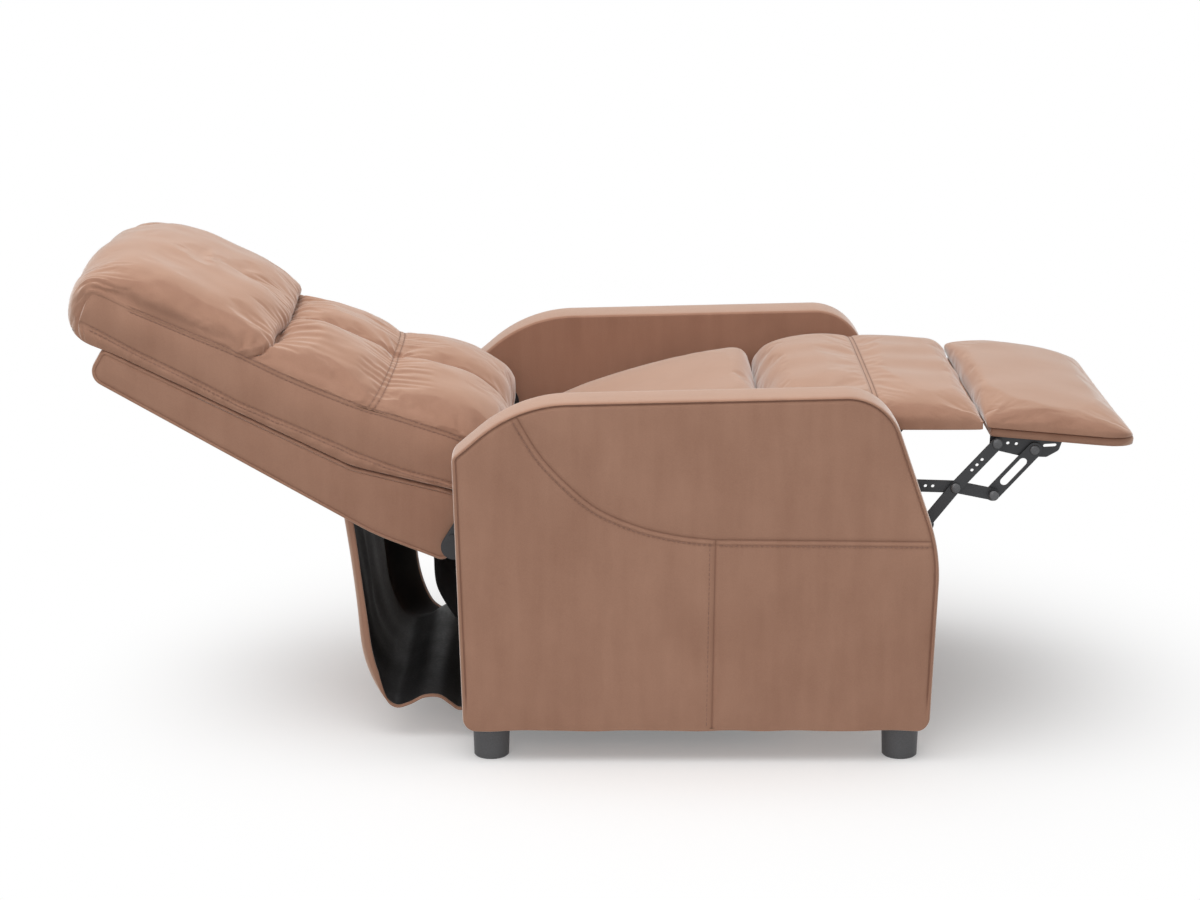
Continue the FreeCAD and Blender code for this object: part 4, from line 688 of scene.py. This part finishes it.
wrap_table = np.array([
    (1, -0.6, 1, -0.6, 256), (0, 6, 1, -0.6, 258), (2, 11.5, 4, -0.6, 259), (8, 12.2, 10, -0.6, 260),
    (80, 12.2, 80, -0.6, 260), (160, 12.2, 160, -0.6, 260), (184, 12.2, 184, -0.6, 254),
    (198, 12.2, 198, -0.6, 243), (206, 10, 205, -0.6, 232), (207, 5, 206, -0.6, 229),
    (206, -0.6, 206, -0.6, 228)]) * MM
wrap_top, wrap_base = pad_sheet(wrap_table, 60, 61, 14.0, FOOT_ORIGIN, FOOT_SLOPE)[2:]
foot_wrap = lay_mesh("footrest_board_wrap", [(wrap_top, 0.0), (wrap_base, 0.0)], velvet)
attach(foot_wrap, "footrest")
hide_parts("footrest_board")

# Back shell: a padded plywood box behind the back, covered in velvet, with a seam along its edges. The
# cushion is fixed over its front.
BACK_ORIGIN, BACK_SLOPE, BACK_HALF = (-0.150 + shift_x, 0.380), 25.5, 0.262


def on_back(plane, across):
    """Places points given along the back and square to it."""
    return stand(plane, across, BACK_ORIGIN, BACK_SLOPE, -1.0)


shell_corners = [
    (-0.026, -0.018, 0.004), (-0.030, -0.066, 0.030), (0.016, -0.133, 0.014), (0.120, -0.140, 0.300),
    (0.575, -0.106, 0.022), (0.571, -0.0575, 0.010), (0.187, -0.062, 0.060)]
shell_line, shell_inward = rounded(shell_corners, 1500)
SHELL_SEAM, SHELL_DARK = 0.0060, 0.34
shell_inset = shell_line + shell_inward * SHELL_SEAM
lip, tail, top_rear, top_front = (-0.0255, -0.019), (0.016, -0.131), (0.571, -0.103), (0.568, -0.059)
SHELL_LONG, SHELL_SHORT = 170, 36
shell_rounds = [stretch(shell_line, start, end, count, even) for start, end, count in (
    (tail, top_rear, SHELL_LONG), (top_rear, top_front, SHELL_SHORT), (top_front, lip, SHELL_LONG),
    (lip, tail, SHELL_SHORT))]
rear, end, rim_side, low = [on_outline(shell_inset, places) for places in shell_rounds]
shell_side = coons(rear, rim_side[::-1], low[::-1], end)
border_gap = nearest(shell_side, np.vstack([rear, end, rim_side, low]))[0]
relief = 0.0028 * (1 - np.exp(-border_gap / 0.025)) - 0.0016 * bell(border_gap, 0.0026)
relief += 0.0011 * waves(shell_side, 0.09, 31) * (1 - np.exp(-border_gap / 0.02))
side_seam = SHELL_DARK * bell(nearest(shell_side, np.vstack([rear, end, low]))[0], 0.0011)
grids = [(on_back(shell_side, side * (BACK_HALF - 0.0026 + relief)), side_seam) for side in (-1.0, 1.0)]
shell_round, shell_in = whole_round(shell_rounds, shell_line, shell_inward)
# Rows of the wrap: inset from the outline and depth from the side, out of the seam and over the rounded edge.
edge_rows = [(SHELL_SEAM, 0.0042), (0.0053, 0.0031), (0.0042, 0.0024), (0.0030, 0.0027), (0.0018, 0.0042),
             (0.0007, 0.0075), (0.0002, 0.0120)]
middle_rows = [(-0.0014 * math.sin(math.pi * share), 0.012 + share * (BACK_HALF - 0.012))
               for share in even(22)[1:]]
rows = [(edge_inset, BACK_HALF - depth) for edge_inset, depth in edge_rows + middle_rows]
rows += [(edge_inset, -across) for edge_inset, across in rows[-2::-1]]
wrap = np.stack([on_back(shell_round + shell_in * edge_inset, across) for edge_inset, across in rows])
seam_and_shade = np.zeros(wrap.shape[:2])
seam_and_shade[[0, -1], :SHELL_LONG + SHELL_SHORT] = SHELL_DARK
grids.append((wrap, seam_and_shade))
shell = lay_mesh("back_shell_cover", grids, velvet)
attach(shell, "back")
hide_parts("back_shell")

# Back cushion and head roll: one sewn cover. A flange strip and a boxing panel run round it, four pads meet
# at a tuft in the middle, and the head roll is gathered at its corners.
back_table = np.array([
    # run and rise of the crown, the edge seam, the lower seam and the flange's foot, half widths of the last
    # three, depth of the middle channel, boxiness
    (-12, -22, -12, -22, -12, -22, -12, -22, 248, 248, 248, 0, 2500),
    (-15, 0, -13, -8, -11, -19, -7, -20.5, 250, 250, 250, 1, 2500),
    (-9, 27, -8, 12, 0, -18, 4, -22, 252, 254, 253, 5, 2600),
    (8, 60, 8, 28, 16, -20, 18, -25, 254, 257, 256, 11, 2700),
    (38, 79, 38, 37, 40, -23, 40, -30, 255, 259, 258, 14, 2300),
    (80, 84, 76, 38, 78, -29, 78, -38, 256, 260, 258, 12, 2300),
    (128, 78, 126, 32, 125, -37, 125, -48, 256, 260, 258, 13, 2300),
    (172, 67, 172, 26, 170, -41, 170, -57.5, 256, 260, 258, 11, 2300),
    (190, 62, 198, 21.5, 194, -43, 194, -61, 256, 260, 258, 9, 2300),
    (212, 63, 222, 19, 218, -43, 218, -61, 256, 260, 258, 11, 2300),
    (265, 64, 268, 16, 262, -44, 262, -60.5, 256, 260, 258, 11, 2300),
    (312, 62, 322, 14, 318, -46, 318, -60, 256, 260, 258, 13, 2300),
    (344, 49, 366, 14.5, 356, -47, 356, -59.5, 256, 260, 258, 10, 2300),
    (357, 30, 384, 15, 374, -47, 374, -59.5, 256, 260, 258, 3, 2900),
    (355, 42, 392, 15, 382, -46.5, 382, -59.5, 256, 260, 258, 0, 3200),
    (364, 54, 400, 15, 392, -46, 392, -59.5, 257, 260, 258, 0, 3100),
    (394, 62, 415, 15, 410, -45, 410, -59, 257, 260, 258, 0, 3100),
    (430, 65, 439, 14, 436, -44, 436, -58.5, 257, 260, 258, 0, 3100),
    (480, 63.5, 482, 12, 482, -43, 482, -58.5, 257, 260, 258, 0, 3100),
    (527, 62.5, 525, 10.5, 525, -42, 525, -58, 257, 260, 258, 0, 3300),
    (577, 55, 562, 9, 556, -40, 552, -58, 257, 260, 258, 0, 3100),
    (611, 43, 592, 9, 584, -38.5, 574, -59.5, 256, 259, 258, 0, 2900),
    (635, 23, 611, 6, 603, -38.5, 588, -60.5, 254, 257, 257, 0, 2800),
    (646, -1, 616.5, -6, 610, -39, 596, -60.5, 252, 254, 255, 0, 2700),
    (648, -24, 617, -19, 613, -41, 601, -59.5, 250, 252, 253, 0, 2700),
    (645, -45, 616, -31, 613.5, -43.5, 605, -57, 249, 250, 251, 0, 2700),
    (638, -60, 614, -41, 612.5, -46.5, 608.5, -53.5, 248, 249, 249, 0, 2700),
    (628, -67, 611, -49, 611, -49, 611, -49, 248, 248, 248, 0, 2700)]) * MM
BACK_ROWS = 190
line = smooth_line(back_table[:, :12], BACK_ROWS)


def row_at(station):
    """Row of the back cover that passes a station of its table."""
    return int(np.argmin(np.linalg.norm(line - back_table[station, :12], axis=1)))


def eased(share):
    """A share s from 0 to 1 that starts and ends level: 3 s^2 - 2 s^3."""
    return share ** 2 * (3 - 2 * share)


def pleats(along, width, wander, length, seed):
    """Sine of along / width, shifted by a random wander of about one length."""
    return np.sin(along / width + wander * waves(along[..., None], length, seed))


stations = np.array([row_at(station) for station in range(len(back_table))])
boxy = np.interp(np.arange(BACK_ROWS), stations, back_table[:, 12])[:, None]
crown, edge, lower, foot = (line[:, None, 2 * k:2 * k + 2] for k in range(4))
edge_half, lower_half, foot_half, channel = (line[:, k, None] for k in range(8, 12))
# Steps across the cover: 1 mm beside the edge seams, 4 mm on the pads and 1.6 mm at the middle seam.
span = np.linspace(0.0, 0.300, 3001)
step_size = np.interp(span, (0, 0.008, 0.025, 0.270, 0.285), np.array((1.0, 1.0, 4.0, 4.0, 1.6)) * MM)
fineness = np.cumsum(1e-4 / step_size)
steps = np.interp(np.linspace(0.0, fineness[-1], 88), np.r_[0.0, fineness], np.r_[0.0, span]) / 0.600
steps = np.r_[steps, 1 - steps[-2::-1]]
angle = np.linspace(0.0, math.pi, 1201)[None]
full_t = -np.sign(np.cos(angle)) * np.abs(np.cos(angle)) ** (2 / boxy)
full_height = np.sin(angle).clip(0.0) ** (2 / boxy)
rise = np.linalg.norm(crown - edge, axis=-1)
arc = np.cumsum(np.hypot(np.diff(edge_half * full_t, axis=1), np.diff(rise * full_height, axis=1)), axis=1)
arc = np.hstack([np.zeros((BACK_ROWS, 1)), arc])
t, height, from_edge = (np.stack([np.interp(steps * far[-1], far, row) for far, row in zip(arc, rows)])
                        for rows in (full_t, full_height, arc))
to_edge = from_edge[:, -1:] - from_edge
side_gap = np.minimum(from_edge, to_edge)
across = edge_half * t
top = edge + (crown - edge) * height[..., None]
top[..., 1] -= channel * (0.82 * bell(across, 0.042) + 0.18 * bell(across, 0.0045))
cross_row, valley_row, seam_end_row, corner_row = row_at(8), row_at(13), row_at(20), row_at(22)
reach = length_to(crown[:, 0])[:, None]
cross_gap = np.abs(reach - reach[cross_row] + 0.0 * across)
valley_gap = reach - reach[valley_row] + 0.0 * across
on_pads = (valley_gap < 0.0).astype(float)
on_roll = clipped((reach - reach[valley_row] - 0.01) / 0.10)
on_roll = eased(on_roll * clipped((reach[corner_row] + 0.02 - reach) / 0.07))
bulge = on_roll * (0.008 * bell(side_gap - 0.040, 0.020) - 0.0045 * bell(side_gap - 0.013, 0.010))
across = across + np.sign(t) * bulge
TUFT_WIDTH, TUFT_DEPTH = 0.016, 0.007
tuft = bell(np.hypot(cross_gap, across), TUFT_WIDTH)
# Pleats: a fan at the roll's lower corners, gathers at its upper corners, and folds that run out from the
# valley below the roll, the cross seam and the tuft.
relief = np.zeros_like(across)
for gap in (from_edge, to_edge):
    along = valley_gap - 0.022
    away = np.hypot(along, gap)
    fan = np.cos(13 * np.arctan2(along, gap + 0.004) + 0.7) * np.exp(-away / 0.034)
    gathers = pleats(gap, 0.0023, 2.0, 0.06, 49) * np.exp(-np.abs(gap - 0.022) / 0.034)
    gathers = gathers * bell(reach - reach[corner_row] + 0.004, 0.034)
    relief += 0.0026 * fan * (1 - bell(away, 0.016)) + 0.0021 * gathers
lip_pleats = pleats(across, 0.0026, 3.0, 0.08, 41) * np.exp(-np.abs(valley_gap - 0.02) / 0.016)
pad_pleats = pleats(across, 0.0042, 2.0, 0.10, 42) * np.exp(valley_gap / 0.040) * on_pads
cross_pleats = pleats(across, 0.0034, 2.5, 0.07, 46) * np.exp(-cross_gap / 0.022)
round_tuft = np.arctan2(across, reach - reach[cross_row])
tuft_pleats = np.cos(11 * round_tuft) * np.exp(-np.hypot(across, cross_gap) / 0.06) * (1 - tuft)
spread = np.stack([across, reach + 0.0 * across], axis=-1)
relief += 0.0010 * lip_pleats + 0.0017 * pad_pleats + 0.0018 * tuft_pleats + 0.0008 * cross_pleats
relief += 0.0026 * waves(spread, 0.17, 43) + 0.0006 * waves(spread, 0.06, 47) - TUFT_DEPTH * tuft
flatter = clipped(across / 0.12) * bell(reach - reach[row_at(11)], 0.055)
relief -= 0.009 * flatter    # the left upper pad is less full than the right one
fold_tab = bell(valley_gap - 0.030 + 0.2 * side_gap, 0.0032) * bell(side_gap, 0.030)
relief += 0.0050 * fold_tab
relief *= clipped(side_gap / 0.016) * clipped(reach / 0.05)
EDGE_LINE, LINE_WIDTH = 0.0029, 0.0009    # topstitching each side of a seam, and the dip that it draws
LINE_DEPTH, LINE_DARK = 0.0005, 0.3
cross_line = bell(cross_gap - EDGE_LINE, 0.0011) * on_pads
cross_seam = 0.0012 * bell(cross_gap, 0.0026) - 0.0022 * bell(cross_gap, 0.012)
relief += on_pads * (cross_seam - LINE_DEPTH * cross_line)
sewn_part = clipped((reach[seam_end_row] + 0.004 - reach) / 0.012) * clipped(reach / 0.03)
edge_line = bell(side_gap - EDGE_LINE, LINE_WIDTH) * sewn_part
relief -= LINE_DEPTH * edge_line
back_top = on_back(top, across)
back_top += outward(back_top) * relief[..., None]
# Darkness of the back cover: dark lines along the topstitching and the middle seam, a darker line along the
# valley below the roll, and painted shade, a soft dark band on the head roll near both side edges.
back_seams_and_shade = np.maximum.reduce([
    LINE_DARK * cross_line, LINE_DARK * edge_line, 0.45 * bell(valley_gap, 0.004),
    LINE_DARK * bell(across, 0.0018) * on_pads * (reach > 0.02),
    # painted shade on the head roll near both side edges
    0.1 * on_roll * bell(side_gap - 0.012, 0.012)])
held = (side_gap < 0.0045) | (cross_gap < 0.0045) & (on_pads > 0) | (np.abs(valley_gap) < 0.004)
held = held | (np.abs(across) < 0.003) & (on_pads > 0) | (reach < 0.02)
most = 0.006 * clipped(side_gap / 0.05)[..., None]
back_top = fill_cloth(back_top, held, pressure=1.0, most=most, slack=0.016)
box_share, flange_share = ((1 - np.cos(math.pi * even(count)))[None] / 2 for count in (33, 13))
box_plane = edge + (lower - edge) * box_share[..., None]
flange_plane = lower + (foot - lower) * flange_share[..., None]
box_tall = np.linalg.norm(lower - edge, axis=-1)
flange_tall = np.linalg.norm(foot - lower, axis=-1)
ends = clipped(20 * np.minimum(even(BACK_ROWS), 1 - even(BACK_ROWS)))[:, None]
box_out = edge_half + (lower_half - edge_half) * box_share + 0.0045 * ends * np.sin(math.pi * box_share)
box_out = box_out + 0.0016 * waves(box_plane, 0.10, 44) * np.sin(math.pi * box_share) * ends
upper_line = bell(box_share * box_tall - EDGE_LINE, LINE_WIDTH) * sewn_part
lower_line = bell((1 - box_share) * box_tall - EDGE_LINE, LINE_WIDTH)
puckers = 0.0011 * pleats(reach, 0.0044, 3.0, 0.1, 45) + 0.0012 * waves(reach[..., None], 0.05, 48)
flange_out = lower_half + (foot_half - lower_half) * flange_share
flange_out = flange_out + ends * (0.0040 + puckers) * np.sin(math.pi * flange_share)
flange_line = bell(flange_share * flange_tall - EDGE_LINE, LINE_WIDTH)
box_out = box_out - LINE_DEPTH * ends * (upper_line + lower_line)
flange_out = flange_out - LINE_DEPTH * ends * flange_line
grids = [(back_top, back_seams_and_shade)]
for side in (-1.0, 1.0):
    grids.append((on_back(box_plane, side * box_out), LINE_DARK * ends * np.maximum(upper_line, lower_line)))
    grids.append((on_back(flange_plane, side * flange_out), 0.22 * ends * flange_line))
tuck = clipped(np.linspace(-11.0, 1.0, BACK_ROWS))[:, None, None] ** 2
underside = foot + tuck * (top[-1:] - foot[-1:])
grids.append((on_back(underside, flange_out[:, -1:] * t), 0.0))
back_cushion = lay_mesh("back_cushion_cover", grids, velvet)
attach(back_cushion, "back")
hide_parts("back_cushion", "head_cushion")
lines = []
for offset in (-EDGE_LINE, EDGE_LINE):
    row = np.argmin(np.abs(reach[:, 0] - reach[cross_row] - offset))
    lines.append(back_top[row, 6:-6] + (0.0, 0.0, 0.0003))
edge_sewn, lower_sewn = slice(14, seam_end_row), slice(14, corner_row)
for side in (-1.0, 1.0):
    column = int(np.argmin(np.abs(from_edge[100] - EDGE_LINE)))
    lines.append((back_top[:, column if side < 0 else -1 - column] + (0.0, side * 0.0003, 0.0))[edge_sewn])
    for start, end, tall, shares, out, sewn in (
            (edge, lower, box_tall, box_share, box_out, edge_sewn),
            (lower, edge, box_tall, 1 - box_share, box_out, lower_sewn),
            (lower, foot, flange_tall, flange_share, flange_out, lower_sewn)):
        share = EDGE_LINE / np.maximum(tall, 0.004)
        column = np.abs(shares - share).argmin(axis=1)
        outs = np.take_along_axis(out, column[:, None], 1)
        lines.append(on_back(start + (end - start) * share[..., None], side * (outs + 0.0004))[sewn, 0])
back_stitches = stitches("back_stitches", lines)
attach(back_stitches, "back")

# Rear skirt: one cloth that closes the gap behind the chair, velvet outside and black lining inside. It is
# sewn to the shell, with spare length tucked in for when the back comes up, and stapled under the rear rail.
SKIRT_HALF, HEM = 0.245, 0.0075
skirt_knots = np.array([
    (-164, 49.7), (-172, 49), (-182, 46), (-201, 42), (-215, 51), (-230, 61), (-251, 60.5), (-270, 51),
    (-288, 45.5), (-300, 50), (-314, 63), (-328, 93), (-337, 130), (-343, 189), (-353, 260), (-363.5, 330),
    (-370, 375), (-376, 412)]) * MM
skirt_path = smooth_line(skirt_knots, 120)[:, None]
skirt_x, skirt_z = skirt_path[..., 0], skirt_path[..., 1]
skirt_across = np.r_[SKIRT_HALF, np.linspace(SKIRT_HALF - HEM, HEM - SKIRT_HALF, 79), -SKIRT_HALF][None]
climb = clipped((skirt_z - 0.03) / 0.29)
free = np.sin(math.pi * climb) * clipped((-0.21 - skirt_x) / 0.05)
near_edge = skirt_across + SKIRT_HALF
folds = -0.0030 * (1 - np.cos(near_edge / 0.030)) - 0.0016 * (1 - np.cos(near_edge / 0.0135 + 5.0 * climb))
lean = 0.008 * clipped(skirt_across / 0.2)
drawn_in = clipped((skirt_across - 0.185) / 0.060) * clipped((-0.225 - skirt_x) / 0.05)
drawn_in = drawn_in * clipped((0.34 - skirt_z) / 0.18)
rolled_in = clipped((0.024 - near_edge) / 0.024) ** 2 * clipped((-0.300 - skirt_x) / 0.03)
edges = 0.045 * eased(drawn_in) + 0.013 * rolled_in
skirt = grid_of(skirt_x + free * (folds + lean) + edges, skirt_across, skirt_z)
skirt_cloth = lay_mesh("rear_skirt", [(skirt, 0.0)], velvet, hard["lining_cloth"], velvet, faces_out=False)
hems = np.zeros((skirt.shape[0] - 1, skirt.shape[1] - 1), dtype=np.int32)
hems[:, [0, -1]] = 2         # the velvet is turned over the edges
skirt_cloth.data.polygons.foreach_set("material_index", hems.ravel())
wall = skirt_cloth.modifiers.new("two_layers", "SOLIDIFY")
wall.thickness = 0.0024
wall.offset = -1.0
wall.material_offset = 1
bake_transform(skirt_cloth)
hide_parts("rear_skirt_upper", "rear_skirt_lower")

# Rear lining and dust cover: thin black cloth. The lining is stapled to the rear rail and leans out above it,
# and the dust cover is stretched under the chair.
LINING_RISE = 0.138          # of its free end over the rail
lining_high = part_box("rear_lining")[1]
lining_start = (lining_high[0] + 0.0003, lining_high[2] - LINING_RISE)
lining_knots = np.array([(-0.3, -40), (-1.4, -20), (-4, -2), (-9, 14), (-34, 45), (-60, 92), (-64, 138)]) * MM
lining_path = smooth_line(lining_knots + lining_start, 50)[:, None]
lining_across = np.linspace(0.200, -0.200, 61)[None]
loose = even(50)[:, None] ** 1.5
ripple = 0.004 * loose * pleats(lining_across, 0.021, 4.0, 0.2, 51)
lining = grid_of(lining_path[..., 0] + ripple, lining_across, lining_path[..., 1])
lining_sheet = lay_mesh("rear_lining_cloth", [(lining, 0.0)], hard["black_webbing"], faces_out=False)
lining_length = float(length_to(lining_path[:, 0])[-1])
cover_low, cover_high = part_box("dust_cover")
cover_x = np.linspace(cover_low[0], cover_high[0], 60)[:, None]
cover_y = np.linspace(cover_low[1], cover_high[1], 60)[None]
sag = 4 * (cover_x - cover_low[0]) * (cover_high[0] - cover_x) / (cover_high[0] - cover_low[0]) ** 2
uneven = waves(grid_of(cover_x, cover_y, 0.0)[..., :2], 0.2, 52)
sag = sag * (1 - (cover_y / cover_high[1]) ** 4) * (0.003 + 0.0008 * uneven)
cover = grid_of(cover_x, cover_y, cover_high[2] - sag - 0.0002)
cover_sheet = lay_mesh("dust_cover_cloth", [(cover, 0.0)], hard["lining_cloth"], faces_out=False)
cover_size = (cover_high[0] - cover_low[0], cover_high[1] - cover_low[1])
for sheet, flat, held, node, carrier in (
        (lining_sheet, (0.400, lining_length), "hung", "rear_lining", "rear_rail"),
        (cover_sheet, cover_size, "stretched", "dust_cover", "front_rail")):
    wall = sheet.modifiers.new("cloth", "SOLIDIFY")
    wall.thickness = 0.0010
    wall.offset = -1.0
    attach(sheet, "base")
    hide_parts(node)
